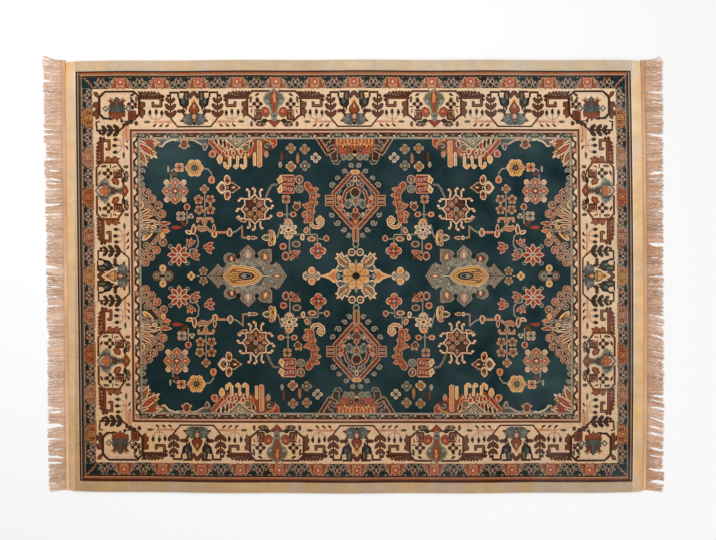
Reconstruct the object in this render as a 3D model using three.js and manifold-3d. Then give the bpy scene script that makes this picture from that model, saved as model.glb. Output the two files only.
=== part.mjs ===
// A pile rug lying flat, with a sewn-on fringe at each end.
// Millimetres. X runs along the rug, Y across it and Z up from the surface it lies on,
// with the origin at the middle of the footprint, on that surface.
import * as THREE from 'three';
import * as BufferGeometryUtils from 'three/addons/utils/BufferGeometryUtils.js';
import Module from 'manifold-3d';

const wasm = await Module();
wasm.setup();

// The pile cloth, from end edge to end edge and from side edge to side edge.
const cloth = {
  halfLength: 1064.5,
  halfWidth: 801,
  thickness: 7,
  backing: 1.6,
  pileLean: 0.3,
  pileRound: 2.6,
  footInset: 0.5,
  edgeWave: 0.8,
  edgeWaveLength: 460,
  cornerPull: 3,
  cornerSharpness: 40,
};

// Very slight swells of the pile over the floor: waves across the plan, in radians per
// half length and half width, and their height.
const swells = { height: 0.25, alongMain: 7.3, acrossMain: 2.1, alongTilt: -1.7, acrossTilt: 4.6 };

// Each end edge leans with the weave and bows outwards in the middle.
const endEdges = {
  left: { middle: -1060.4, lean: 0.0108, bow: 0 },
  right: { middle: 1068.6, lean: 0.0046, bow: 7 },
};

// Each side edge is fullest in the middle and drops by these amounts at the two ends.
const sideEdges = {
  top: { leftDrop: 5, rightDrop: 2 },
  bottom: { leftDrop: 8, rightDrop: 4 },
};

const clothGrid = { columns: 24, rows: 18 };

// The fringe: a narrow heading strip beside the end edge, and flat locks rooted in it.
const heading = {
  width: 15, thickness: 2.6, rim: 1.5, shoulder: 0.6, gap: 0.3, stations: 36, endInset: 3,
};
const locks = {
  count: 144,
  rootDepth: 3,
  rootWidth: 8.2,
  bellyWidth: 8.8,
  tipWidth: 6.2,
  rootHeight: 2.0,
  tipHeight: 1.5,
  crownShare: 0.66,
  clearance: 0.5,
  endInset: 7,
};
const lockStations = [
  { along: 0, width: locks.rootWidth, height: locks.rootHeight, sway: 0 },
  { along: 0.34, width: locks.bellyWidth, height: locks.rootHeight, sway: 0.25 },
  { along: 0.68, width: locks.bellyWidth, height: locks.rootHeight, sway: 0.62 },
  { along: 1, width: locks.tipWidth, height: locks.tipHeight, sway: 1 },
];

// Lock lengths past the heading, and how far the outermost locks splay at the corners.
const fringes = [
  {
    name: 'fringe_left', edge: 'left', outward: -1, phase: 0.6,
    lengthTop: 70, lengthMiddle: 64, lengthBottom: 65, splayTop: 17, splayBottom: 13,
  },
  {
    name: 'fringe_right', edge: 'right', outward: 1, phase: 2.3,
    lengthTop: 68, lengthMiddle: 60, lengthBottom: 64, splayTop: 11, splayBottom: 7,
  },
];
const splaySharpness = 28;
const lengthJitter = { reach: 2.4, channel: 5 };
const swayWaves = [
  { reach: 3.4, length: 420 },
  { reach: 2.2, length: 173 },
];
const swayJitter = 1.1;

const clothMaterial = new THREE.MeshStandardMaterial({ color: 0x1d3c3f, roughness: 0.72, metalness: 0 });
const fringeMaterial = new THREE.MeshStandardMaterial({ color: 0xc9a184, roughness: 0.6, metalness: 0 });

// A repeatable value from -1 to 1 for each whole number and channel.
function uneven(index, channel) {
  const turn = Math.sin(index * 12.9898 + channel * 78.233) * 43758.5453;
  return 2 * (turn - Math.floor(turn)) - 1;
}

// Where an end edge stands at height y across the rug.
function endEdgeX(edge, y) {
  const { middle, lean, bow } = endEdges[edge];
  const share = y / cloth.halfWidth;
  return middle - lean * y - Math.sign(middle) * bow * share * share;
}

// A point of the cloth's outline plan: u and v run from -1 to 1 between the edges.
function clothPoint(u, v) {
  const side = v > 0 ? sideEdges.top : sideEdges.bottom;
  const drop = (u < 0 ? side.leftDrop : side.rightDrop) * u * u;
  const along = u * cloth.halfLength;
  const wave = cloth.edgeWave * Math.sin((2 * Math.PI * along) / cloth.edgeWaveLength + v);
  const pull = cloth.cornerPull * Math.abs(u * v) ** cloth.cornerSharpness;
  const y = v * (cloth.halfWidth - drop - pull) + v * v * wave;
  const left = endEdgeX('left', y);
  const right = endEdgeX('right', y);
  const x = left + ((u + 1) / 2) * (right - left) - Math.sign(u) * pull;
  return { x, y };
}

// The same point drawn in from the outline by an even margin.
function insetPoint(u, v, margin) {
  return clothPoint(u * (1 - margin / cloth.halfLength), v * (1 - margin / cloth.halfWidth));
}

// How far the pile's surface stands above or below its even height.
function swell(u, v) {
  const main = Math.sin(swells.alongMain * u + swells.acrossMain * v);
  return swells.height * main * Math.cos(swells.alongTilt * u + swells.acrossTilt * v);
}

function addGrid(positions, indices, height, margin, faceUp) {
  const { columns, rows } = clothGrid;
  const base = positions.length / 3;
  for (let row = 0; row <= rows; row += 1) {
    for (let column = 0; column <= columns; column += 1) {
      const u = (2 * column) / columns - 1;
      const v = (2 * row) / rows - 1;
      const { x, y } = insetPoint(u, v, margin);
      positions.push(x, y, height(u, v));
    }
  }
  for (let row = 0; row < rows; row += 1) {
    for (let column = 0; column < columns; column += 1) {
      const a = base + row * (columns + 1) + column;
      const b = a + 1;
      const c = b + columns + 1;
      const d = a + columns + 1;
      if (faceUp) indices.push(a, b, c, a, c, d);
      else indices.push(a, c, b, a, d, c);
    }
  }
}

// The grid's border points, once round against the clock seen from above.
function borderPlaces() {
  const { columns, rows } = clothGrid;
  const places = [];
  for (let column = 0; column < columns; column += 1) places.push([(2 * column) / columns - 1, -1]);
  for (let row = 0; row < rows; row += 1) places.push([1, (2 * row) / rows - 1]);
  for (let column = columns; column > 0; column -= 1) places.push([(2 * column) / columns - 1, 1]);
  for (let row = rows; row > 0; row -= 1) places.push([-1, (2 * row) / rows - 1]);
  return places;
}

function makeCloth() {
  const positions = [];
  const indices = [];
  const top = (u, v) => cloth.thickness + swell(u, v);
  addGrid(positions, indices, () => 0, cloth.footInset, false);
  addGrid(positions, indices, top, cloth.pileRound, true);

  // The edge rises from the foot past the backing and rounds over into the pile.
  const rings = [
    { margin: cloth.footInset, height: () => 0 },
    { margin: 0, height: () => cloth.backing },
    { margin: cloth.pileLean, height: () => cloth.thickness - cloth.pileRound / 2 },
    { margin: cloth.pileRound, height: top },
  ];
  const places = borderPlaces();
  const base = positions.length / 3;
  for (const ring of rings) {
    for (const [u, v] of places) {
      const { x, y } = insetPoint(u, v, ring.margin);
      positions.push(x, y, ring.height(u, v));
    }
  }
  for (let ring = 0; ring < rings.length - 1; ring += 1) {
    for (let place = 0; place < places.length; place += 1) {
      const next = (place + 1) % places.length;
      const a = base + ring * places.length + place;
      const b = base + ring * places.length + next;
      const c = b + places.length;
      const d = a + places.length;
      indices.push(a, b, c, a, c, d);
    }
  }
  return indexedGeometry(positions, indices);
}

function indexedGeometry(positions, indices) {
  const geometry = new THREE.BufferGeometry();
  geometry.setAttribute('position', new THREE.Float32BufferAttribute(positions, 3));
  geometry.setIndex(indices);
  return BufferGeometryUtils.mergeVertices(geometry, 1e-4);
}

// Closed bar from a row of sections with the same number of points, ordered so that
// each section turns against the clock seen from the bar's last section.
function barGeometry(sections) {
  const size = sections[0].length;
  const positions = sections.flat(2);
  const indices = [];
  for (let section = 0; section < sections.length - 1; section += 1) {
    for (let point = 0; point < size; point += 1) {
      const next = (point + 1) % size;
      const a = section * size + point;
      const b = section * size + next;
      indices.push(a, b, b + size, a, b + size, a + size);
    }
  }
  const last = (sections.length - 1) * size;
  for (let point = 1; point < size - 1; point += 1) {
    indices.push(0, point + 1, point, last, last + point, last + point + 1);
  }
  return indexedGeometry(positions, indices);
}

// The heading strip: a low rounded band along the end edge, just clear of it.
function makeHeading(fringe) {
  const { width, thickness, rim, shoulder, gap, stations, endInset } = heading;
  const sections = [];
  for (let station = 0; station <= stations; station += 1) {
    const v = (2 * station) / stations - 1;
    const y = v * (cloth.halfWidth - endInset - sideEdges.bottom.leftDrop);
    const near = endEdgeX(fringe.edge, y) + fringe.outward * gap;
    const at = (across, z) => [near + fringe.outward * across, y, z];
    const section = [
      at(0, 0), at(0, thickness - shoulder), at(rim, thickness),
      at(width - rim, thickness), at(width, thickness - shoulder), at(width, 0),
    ];
    sections.push(fringe.outward > 0 ? section : section.reverse());
  }
  return barGeometry(sections);
}

// How far a lock's tip stands to the side of its root.
function tipSway(fringe, index, y) {
  const v = y / cloth.halfWidth;
  let sway = v > 0 ? fringe.splayTop * v ** splaySharpness : -fringe.splayBottom * v ** splaySharpness;
  for (const wave of swayWaves) {
    sway += wave.reach * Math.sin((2 * Math.PI * y) / wave.length + fringe.phase * wave.reach);
  }
  return sway + swayJitter * uneven(index, fringe.phase);
}

function lockLength(fringe, index, y) {
  const v = y / cloth.halfWidth;
  const end = v > 0 ? fringe.lengthTop : fringe.lengthBottom;
  const jitter = lengthJitter.reach * uneven(index, lengthJitter.channel);
  return THREE.MathUtils.lerp(fringe.lengthMiddle, end, Math.abs(v)) + jitter;
}

// The row of locks: each lies flat, bends a little and keeps clear of the one before.
function makeLocks(fringe) {
  const reach = cloth.halfWidth - heading.endInset - sideEdges.bottom.leftDrop - locks.endInset;
  const pitch = (2 * reach) / (locks.count - 1);
  const bars = [];
  let before = lockStations.map(() => -Infinity);
  for (let index = 0; index < locks.count; index += 1) {
    const root = -reach + index * pitch;
    const start = endEdgeX(fringe.edge, root)
      + fringe.outward * (heading.gap + heading.width - locks.rootDepth);
    const length = lockLength(fringe, index, root) + locks.rootDepth;
    const sway = tipSway(fringe, index, root);
    const sections = lockStations.map((station, order) => {
      const half = station.width / 2;
      const floor = before[order] + locks.clearance + half;
      const y = Math.max(root + sway * station.sway, floor);
      before[order] = y + half;
      const x = start + fringe.outward * length * station.along;
      const crown = half * locks.crownShare;
      const section = [
        [x, y - half, 0], [x, y + half, 0],
        [x, y + crown, station.height], [x, y - crown, station.height],
      ];
      return fringe.outward > 0 ? section : section.reverse();
    });
    bars.push(barGeometry(sections));
  }
  return bars;
}

function toManifold(geometry) {
  return new wasm.Manifold(new wasm.Mesh({
    numProp: 3,
    vertProperties: new Float32Array(geometry.attributes.position.array),
    triVerts: new Uint32Array(geometry.index.array),
  }));
}

function fromManifold(solid) {
  const mesh = solid.getMesh();
  const geometry = new THREE.BufferGeometry();
  geometry.setAttribute('position', new THREE.BufferAttribute(mesh.vertProperties, mesh.numProp));
  geometry.setIndex(new THREE.BufferAttribute(mesh.triVerts, 1));
  return geometry;
}

function makeFringe(fringe) {
  let solid = toManifold(makeHeading(fringe));
  for (const bar of makeLocks(fringe)) solid = solid.add(toManifold(bar));
  return fromManifold(solid);
}

function namedMesh(name, geometry, material) {
  geometry.computeVertexNormals();
  const mesh = new THREE.Mesh(geometry, material);
  mesh.name = name;
  return mesh;
}

const rug = new THREE.Group();
rug.name = 'rug';
rug.add(namedMesh('rug_body', makeCloth(), clothMaterial));
for (const fringe of fringes) {
  rug.add(namedMesh(fringe.name, makeFringe(fringe), fringeMaterial.clone()));
}

// The footprint is centred on the origin.
const footprint = new THREE.Box3().setFromObject(rug);
const middle = footprint.getCenter(new THREE.Vector3());
for (const mesh of rug.children) mesh.geometry.translate(-middle.x, -middle.y, 0);

export default rug;
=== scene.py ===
import math

import bpy
import numpy as np
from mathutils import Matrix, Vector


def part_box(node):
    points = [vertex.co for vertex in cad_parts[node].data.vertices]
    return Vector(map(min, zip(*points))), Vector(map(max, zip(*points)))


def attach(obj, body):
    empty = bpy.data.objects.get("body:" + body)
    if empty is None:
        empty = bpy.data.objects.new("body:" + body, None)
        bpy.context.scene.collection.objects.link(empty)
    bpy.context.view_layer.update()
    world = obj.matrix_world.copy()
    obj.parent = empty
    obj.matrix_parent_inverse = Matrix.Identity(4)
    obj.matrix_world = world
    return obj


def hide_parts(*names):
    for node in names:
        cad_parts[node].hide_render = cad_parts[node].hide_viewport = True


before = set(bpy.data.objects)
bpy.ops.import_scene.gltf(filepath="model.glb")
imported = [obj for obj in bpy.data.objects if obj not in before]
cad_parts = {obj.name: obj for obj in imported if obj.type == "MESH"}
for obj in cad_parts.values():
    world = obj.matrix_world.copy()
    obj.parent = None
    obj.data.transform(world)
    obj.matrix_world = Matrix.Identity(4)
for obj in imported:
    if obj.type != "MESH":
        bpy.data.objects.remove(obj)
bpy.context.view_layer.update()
mm = 0.001
print("frame loaded")


# A repeatable value from -1 to 1 for each whole number and channel.
def uneven(index, channel):
    turn = np.sin(index * 12.9898 + channel * 78.233) * 43758.5453
    return 2 * (turn - np.floor(turn)) - 1


# Knot chart of one quarter of the rug. Distances are in millimetres from the middle:
# x runs towards an end, y towards a side. The other quarters are its mirror images.
weave = dict(knot=1.9934, quarterColumns=534, quarterRows=402)
yarnNames = "teal ink brown rust salmon gold cream sand slate olive mist crimson tan umber plum rose".split()
yarnNumber = {name: number for number, name in enumerate(yarnNames)}


# A spot on the chart with its own turned, scaled or flipped axes.
class Place:
    def __init__(self, chart, matrix, x, y):
        self.chart, self.matrix, self.x, self.y = chart, matrix, x, y
        self.scale = math.sqrt(abs(np.linalg.det(matrix)))

    # Another spot, given in this one's axes.
    def at(self, x, y, turn=0, size=1, flip=1):
        c, s = math.cos(math.radians(turn)), math.sin(math.radians(turn))
        step = np.array([[c * flip, -s], [s * flip, c]]) * size
        dx, dy = self.matrix @ (x, y)
        return Place(self.chart, self.matrix @ step, self.x + dx, self.y + dy)

    # The same spot on both sides of this one's middle line.
    def both(self, x, y, turn=0):
        return [self.at(x, y, turn), self.at(-x, y, -turn, flip=-1)]

    # Spots evenly round this one, each looking outwards.
    def around(self, count, radius, start=0):
        turns = [start + 360 * k / count for k in range(count)]
        return [self.at(-radius * math.sin(math.radians(t)), radius * math.cos(math.radians(t)), t)
                for t in turns]

    # Paints a shape: each yarn fills what lies deeper than its depth inside the outline.
    def lay(self, shape, **depths):
        measure, reach = shape
        grow = max(-min(depths.values()), 0)
        knots, dx, dy = self.chart.near(self.x, self.y, reach * self.scale * 1.5 + grow + 2)
        if knots is None:
            return self
        (a, b), (c, d) = np.linalg.inv(self.matrix)
        depth = -self.scale * measure(a * dx + b * dy, c * dx + d * dy)
        for yarn, least in depths.items():
            self.chart.yarns[knots][depth > least] = yarnNumber[yarn]
        return self


# The knots of the quarter, each with the number of its yarn.
class Chart:
    def __init__(self, columns, rows, knot):
        self.x = (np.arange(columns) + 0.5) * knot
        self.y = (np.arange(rows) + 0.5) * knot
        self.yarns = np.zeros((rows, columns), np.uint8)

    # The knots within reach of a point, and how far each is from it.
    def near(self, x, y, reach):
        i = np.searchsorted(self.x, (x - reach, x + reach))
        j = np.searchsorted(self.y, (y - reach, y + reach))
        if i[0] == i[1] or j[0] == j[1]:
            return None, None, None
        return (slice(*j), slice(*i)), self.x[None, i[0]:i[1]] - x, self.y[j[0]:j[1], None] - y

    def spot(self, x, y, turn=0):
        return Place(self, np.eye(2), 0, 0).at(x, y, turn)

    # Fills the rectangle that ends at x and y and begins at fromX and fromY.
    def fill(self, x, y, yarn, fromX, fromY):
        columns = (self.x[None] < x) & (self.x[None] >= fromX)
        rows = (self.y[:, None] < y) & (self.y[:, None] >= fromY)
        self.yarns[columns & rows] = yarnNumber[yarn]

    # Fills everything outside a rectangle about the rug's middle.
    def beyond(self, x, y, yarn):
        self.yarns[(self.x[None] > x) | (self.y[:, None] > y)] = yarnNumber[yarn]


# Shapes: each gives how far a point is outside its outline, and its reach.
def disc(radius):
    return lambda x, y: np.hypot(x, y) - radius, radius


def oval(a, b):
    return lambda x, y: (np.hypot(x / a, y / b) - 1) * min(a, b), max(a, b)


# Round petals about the middle, as deep as dip.
def petals(count, radius, dip=0.3, start=0):
    def measure(x, y):
        turn = np.arctan2(x, y) - math.radians(start)
        return np.hypot(x, y) - radius * (1 - dip * (1 - np.abs(np.cos(count * turn / 2)) ** 0.8))
    return measure, radius


# A leaf along y from its foot to its tip, its edges cut into teeth.
def leaf(length, width, teeth=0):
    def measure(x, y):
        t = np.clip(y / length, 0, 1)
        edge = width * np.sin(math.pi * t ** 0.8)
        if teeth:
            edge = edge * (1 - 0.4 * (1 - (t * teeth) % 1))
        return np.maximum(np.abs(x) - edge, np.abs(y - length / 2) - length / 2) * 0.8
    return measure, length


# A drop along y, round at the foot and pointed at the tip.
def drop(length, width):
    def measure(x, y):
        t = np.clip(y / length, 0, 1)
        edge = width * 1.3 * np.sqrt(t) * (1 - t) ** 0.75 * 1.6
        return np.maximum(np.abs(x) - edge, np.abs(y - length / 2) - length / 2) * 0.8
    return measure, length


# A rectangle with cut corners.
def block(a, b, cut=0):
    def measure(x, y):
        x, y = np.abs(x), np.abs(y)
        return np.maximum(np.maximum(x - a, y - b), (x + y - a - b + cut) / math.sqrt(2))
    return measure, math.hypot(a, b)


# How far each point is from the straight stroke between two others.
def towards(x, y, ax, ay, bx, by):
    dx, dy = bx - ax, by - ay
    share = np.clip(((x - ax) * dx + (y - ay) * dy) / max(dx * dx + dy * dy, 1e-9), 0, 1)
    return np.hypot(x - ax - share * dx, y - ay - share * dy)


# A band of even width through its points.
def line(width, *points):
    def measure(x, y):
        return np.minimum.reduce([towards(x, y, *a, *b) for a, b in zip(points, points[1:])]) - width / 2
    return measure, max(math.hypot(*p) for p in points) + width


# A filled outline through its points, given once round.
def patch(*points):
    def measure(x, y):
        gap, inside = None, False
        for (ax, ay), (bx, by) in zip(points, points[1:] + points[:1]):
            near = towards(x, y, ax, ay, bx, by)
            gap = near if gap is None else np.minimum(gap, near)
            crosses = (ay > y) != (by > y)
            inside = inside ^ (crosses & (x < (bx - ax) * (y - ay) / (by - ay + 1e-9) + ax))
        return np.where(inside, -gap, gap)
    return measure, max(math.hypot(*p) for p in points)


# A filled outline given by its right half; the left half is the mirror image.
def even(*points):
    return patch(*points, *[(-x, y) for x, y in reversed(points)])


# A curl of so many turns, its end in the middle.
def curl(radius, turns, width, start=0):
    spots = [(radius * (1 - 0.8 * k / 14), math.radians(start) + 2 * math.pi * turns * k / 14)
             for k in range(15)]
    return line(width, *[(r * math.sin(t), r * math.cos(t)) for r, t in spots])


def star(count, radius, inner):
    spots = [(inner if k % 2 else radius, math.radians(180 * k / count)) for k in range(2 * count)]
    return patch(*[(r * math.sin(t), r * math.cos(t)) for r, t in spots])


# The framing bands, from inside out: where each begins, towards the ends and towards the sides.
bands = [
    dict(x=794, y=507, yarn="mist"), dict(x=801, y=513, yarn="umber"),
    dict(x=820, y=531, yarn="rose"), dict(x=824, y=536, yarn="plum"), dict(x=832, y=545, yarn="cream"),
    dict(x=966, y=694, yarn="umber"), dict(x=1009, y=745, yarn="sand"),
]

# Each border runs two ways: along a side, or turned to run along an end.
sideMatrix = np.eye(2)
endMatrix = np.array([[0, 1.0], [1, 0]])


# A spot on a border: so far along it, at its inner edge, facing outwards, with what stands there squeezed
# across the border and stretched along it.
def runOf(chart, along, edge, end, squeeze=1, stretch=1):
    matrix = endMatrix if end else sideMatrix
    x, y = (edge, along) if end else (along, edge)
    return Place(chart, matrix @ np.diag([stretch, squeeze]), x, y)


# A small flower of four dark dots round a pale one.
def fourDots(p):
    for q in p.around(4, 11.5):
        q.lay(oval(7.6, 8), brown=0)
    p.lay(disc(5), cream=0)


# Three pairs of leaves up a stem, like an ear of corn.
def earOfLeaves(p, yarn):
    for step, size in ((0, 1), (26, 0.95), (50, 0.8)):
        q = p.at(0, step, size=size)
        q.lay(even((0, -14), (10, -11), (20, -1), (23, 9), (18, 15), (11, 12), (5, 5), (0, 8)), brown=-0.6,
              **{yarn: 2.4})


# Cut-cornered frame with flags on its sides and four-dot flowers, round what is given to stand in it.
def cartouche(p, inner, yarn):
    for q in p.both(0, 0):
        q.lay(line(8.5, (20, 137), (80, 137), (99, 118), (99, 52), (76, 32), (70, 26)), brown=0,
              **{yarn: 2.6})
        for foot in (92, 64):
            q.at(101, foot).lay(patch((-3, 12), (19, 5), (20, -12), (16, -8), (13, -27), (5, -18),
                                      (-3, -21)), brown=0, **{yarn: 3})
            for y in (-14, -5, 4):
                q.at(101, foot).lay(line(2.2, (2, y - 3), (14, y + 3)), tan=0)
        q.lay(line(4.5, (70, 25), (44, 24), (18, 28)), umber=0)
        q.lay(line(2, (74, 110), (60, 130), (26, 128)), rose=0)
        q.at(62, 124, 60).lay(oval(4.6, 9), brown=0)
        q.at(62, 107).lay(oval(6, 7), umber=0, olive=2.5)
        fourDots(q.at(61, 89))
        q.at(86, 106, 6).lay(oval(5, 13), umber=0, olive=2.4)
        q.at(85, 79, 90).lay(oval(3, 8), brown=0)
        q.at(84, 62, 12).lay(oval(3, 10), rust=0)
        q.at(60, 49).lay(block(15, 19, 3), brown=0, plum=4)
        q.at(60, 49).lay(line(2.6, (-9, 12), (8, 12), (8, -11), (-5, -11), (-5, 2)), tan=0)
        q.at(74, 66).lay(line(4.5, (2, 4), (-3, -6), (-4, -16)), rose=0)
        q.at(35, 27, 86).at(0, -12).lay(leaf(26, 7), ink=-1, umber=2)
        q.at(50, 14).lay(oval(20, 9.5), umber=0, olive=3)
        q.at(45, 12).lay(oval(10, 4.4), rose=-1.2, plum=0)
        q.at(84, 15).lay(oval(6, 10), brown=0, olive=3)
    inner(p)


# What stands in the cartouches along the sides: a slim fan over a red stem between two pears.
def slimPalmette(p):
    for q in p.both(0, 0):
        q.at(33, 59, -24).lay(oval(16, 19), umber=-1, tan=1.5, rust=4)
        q.at(31, 63, -24).lay(oval(10, 11), crimson=-1, salmon=4)
        q.lay(patch((0, 146), (14, 137), (32, 125), (40, 108), (34, 92), (18, 78), (12, 60), (10, 30),
                    (0, 26)), umber=-1, mist=0, olive=3)
        q.at(24, 100, -30).lay(oval(8, 14), slate=0, mist=4)
        q.lay(line(2.2, (16, 82), (34, 104)), mist=0)
    for x, yarn in ((-10, "rust"), (-5, "salmon"), (0, "gold"), (5, "salmon"), (10, "rust")):
        p.lay(line(4.6, (x * 0.3, 136), (x, 108 + abs(x)), (x * 0.8, 92)), brown=-1, **{yarn: 0})
    p.lay(line(9, (0, 92), (0, 60)), rust=-1, crimson=1.4)
    p.at(0, 45).lay(oval(10, 12), umber=-1, mist=0, slate=3)
    p.lay(even((0, 2), (21, 24), (14, 31), (0, 22)), brown=-1, crimson=2)
    p.lay(even((0, 10), (11, 22), (0, 18)), rust=0)


# What stands in those along the ends: a wide fan in slate, between two red leaves.
def widePalmette(p):
    for q in p.both(0, 0):
        q.lay(patch((20, 47), (33, 44), (50, 60), (40, 76), (24, 68)), brown=-1, rust=2)
        q.lay(line(3, (26, 54), (40, 64)), tan=0)
        q.lay(patch((0, 142), (16, 134), (36, 119), (46, 101), (42, 91), (22, 84), (16, 70), (12, 58),
                    (0, 50)), umber=-1, mist=0, slate=4)
        q.at(36, 103, -24).lay(oval(6, 11), mist=0, olive=2.5)
    p.lay(even((0, 126), (8, 118), (20, 103), (18, 91), (0, 87)), umber=-1, tan=0, salmon=3)
    for q in p.both(0, 86):
        for x in (5, 13):
            q.lay(line(3, (x * 0.6, 4), (x, 28 - x * 0.5)), rust=0)
        q.lay(line(4, (0, 46), (10, 38), (15, 28)), cream=0)
        q.lay(line(3, (0, 51), (14, 41), (22, 28)), brown=0)
    p.lay(even((0, 50), (12, 66), (11, 76), (0, 82)), umber=0, plum=4)
    p.lay(even((0, 35), (12, 39), (5, 45), (12, 52), (0, 50)), brown=-1, slate=0)
    p.lay(even((0, 6), (16, 14), (22, 24), (13, 33), (0, 36)), brown=-1, rust=1)
    p.lay(even((0, 13), (12, 22), (0, 29)), brown=-1, tan=1)


# Open bracket of leafy stems holding a winged palmette.
def bracket(p, heart, leaves):
    for q in p.both(0, 0):
        q.lay(line(6, (-2, 7), (62, 7), (87, 38), (87, 134)), brown=0)
        q.lay(line(8, (87, 133), (59, 133), (57, 124)), brown=0)
        earOfLeaves(q.at(87, 53), leaves)
        q.at(52, 25, 68).lay(leaf(18, 5.5), brown=0, rust=3)
        q.lay(line(8, (50, 135), (22, 135)), brown=0)
        q.lay(patch((16, 138), (38, 136), (40, 108), (30, 72), (18, 88)), umber=0, olive=7)
        q.lay(patch((58, 120), (52, 88), (38, 76), (24, 88), (26, 102), (40, 110), (50, 124)), ink=-1.5,
              slate=8)
        q.lay(line(2, (28, 92), (46, 112)), mist=0)
        q.at(33, 78, 6).lay(oval(8, 20), umber=0)
        q.at(54, 114, -30).lay(leaf(14, 6), umber=0)
        q.at(47, 120).lay(oval(7, 8), cream=0, gold=4)
        q.at(51, 64).lay(block(13, 7.5, 5), brown=0, plum=3)
        q.lay(line(8, (44, 64), (36, 50)), brown=0)
        q.lay(line(2.6, (24, 54), (36, 74)), cream=0)
        q.lay(line(2.4, (29, 50), (38, 66)), umber=0)
        q.at(16, 33).lay(oval(26, 21), umber=-1, slate=0.4)
        for x, y, start in ((30, 26, 0), (36, 38, 90), (26, 46, 180), (22, 33, 30)):
            q.at(x, y).lay(curl(6, 0.8, 2.2, start), mist=0)
        q.at(14, 64).lay(disc(6), brown=0)
    p.lay(even((0, 140), (9, 137), (12, 130), (26, 128), (18, 116), (14, 104), (0, 110)), brown=0, plum=3.5)
    p.lay(even((0, 120), (16, 100), (15, 84), (0, 74)), cream=-1, gold=4.5, tan=10)
    p.lay(even((0, 98), (14, 84), (21, 68), (13, 56), (0, 53)), brown=-0.6, **{heart: 3})
    p.at(0, 82).lay(oval(5, 9), tan=0, rose=2.2)
    p.at(0, 66).lay(line(3, (-13, 0), (13, 0)), brown=0)
    p.at(0, 43).lay(oval(9, 13), brown=-1.5, tan=0.5, rose=3.4)
    p.at(0, 26).lay(oval(6, 8), brown=0, tan=2)
    p.at(0, 17).lay(oval(4, 6), ink=0)
    p.at(0, 8).lay(disc(3.4), slate=0)


# Toothed bar with a square hook, three tulips and a leafy twig, from a bracket towards a cartouche.
def filler(p, yarn):
    p.lay(line(12, (120, 112), (199, 112)), brown=0, **{yarn: 3})
    p.lay(line(5, (122, 119), (200, 119)), **{yarn: 0})
    for k in range(7):
        p.at(121 + 11.5 * k, 118, -38).lay(line(8.5, (0, 0), (0, 21 - 4 * (k == 0))), brown=0, **{yarn: 2.2})
    p.lay(patch((196, 137), (204, 122), (201, 106), (192, 116)), brown=0)
    p.lay(line(12, (122, 112), (122, 83), (152, 83), (152, 94)), brown=0, **{yarn: 3, "tan": 5})
    for x, y, turn in ((100, 115, 40), (110, 112, -30), (108, 106, -100)):
        p.at(x, y, turn).lay(leaf(17, 5.5), brown=0)
    p.lay(line(2.4, (119, 50), (124, 36), (140, 33), (156, 36), (162, 50)), tan=0)
    p.lay(line(2.6, (140, 54), (140, 22), (146, 12)), rust=0)
    for x, y in ((119, 49), (140, 53), (163, 51)):
        p.at(x, y).lay(oval(5, 7), mist=0)
        p.at(x, y).lay(drop(19, 6.4), umber=-0.5, ink=3.6)
    p.lay(line(9, (88, 25), (146, 25)), rose=0)
    p.lay(line(3, (78, 23), (166, 22)), salmon=0)
    p.at(174, 24).lay(oval(12, 5.5), olive=0, umber=3.4)
    for x in (100, 123, 147):
        p.lay(line(2.4, (x - 7, 21), (x - 2, 12)), rust=0)
        p.at(x, 10, 60).lay(oval(4, 8), brown=0)


# The main border along an end and along a side: the step from motif to motif, its inner edge and its yarns.
mainRuns = (
    dict(end=True, step=316, edge=832, squeeze=0.9, stretch=1.06, heart="gold", yarn="rust", leaves="umber"),
    dict(end=False, step=296, edge=547, squeeze=1, stretch=1, heart="rust", yarn="plum", leaves="plum"),
)


# From the middle of the run: a bracket, a cartouche and the next bracket, with a filler from each bracket.
def mainBorder(chart):
    for run in mainRuns:
        first, middle, last = (
            runOf(chart, k * run["step"], run["edge"], run["end"], run["squeeze"], run["stretch"])
            for k in range(3))
        filler(first, run["yarn"])
        filler(last.at(0, 0, flip=-1), run["yarn"])
        bracket(first, run["heart"], run["leaves"])
        bracket(last, run["heart"], run["leaves"])
        cartouche(middle, widePalmette if run["end"] else slimPalmette, run["yarn"])
    corner(chart)


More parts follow.
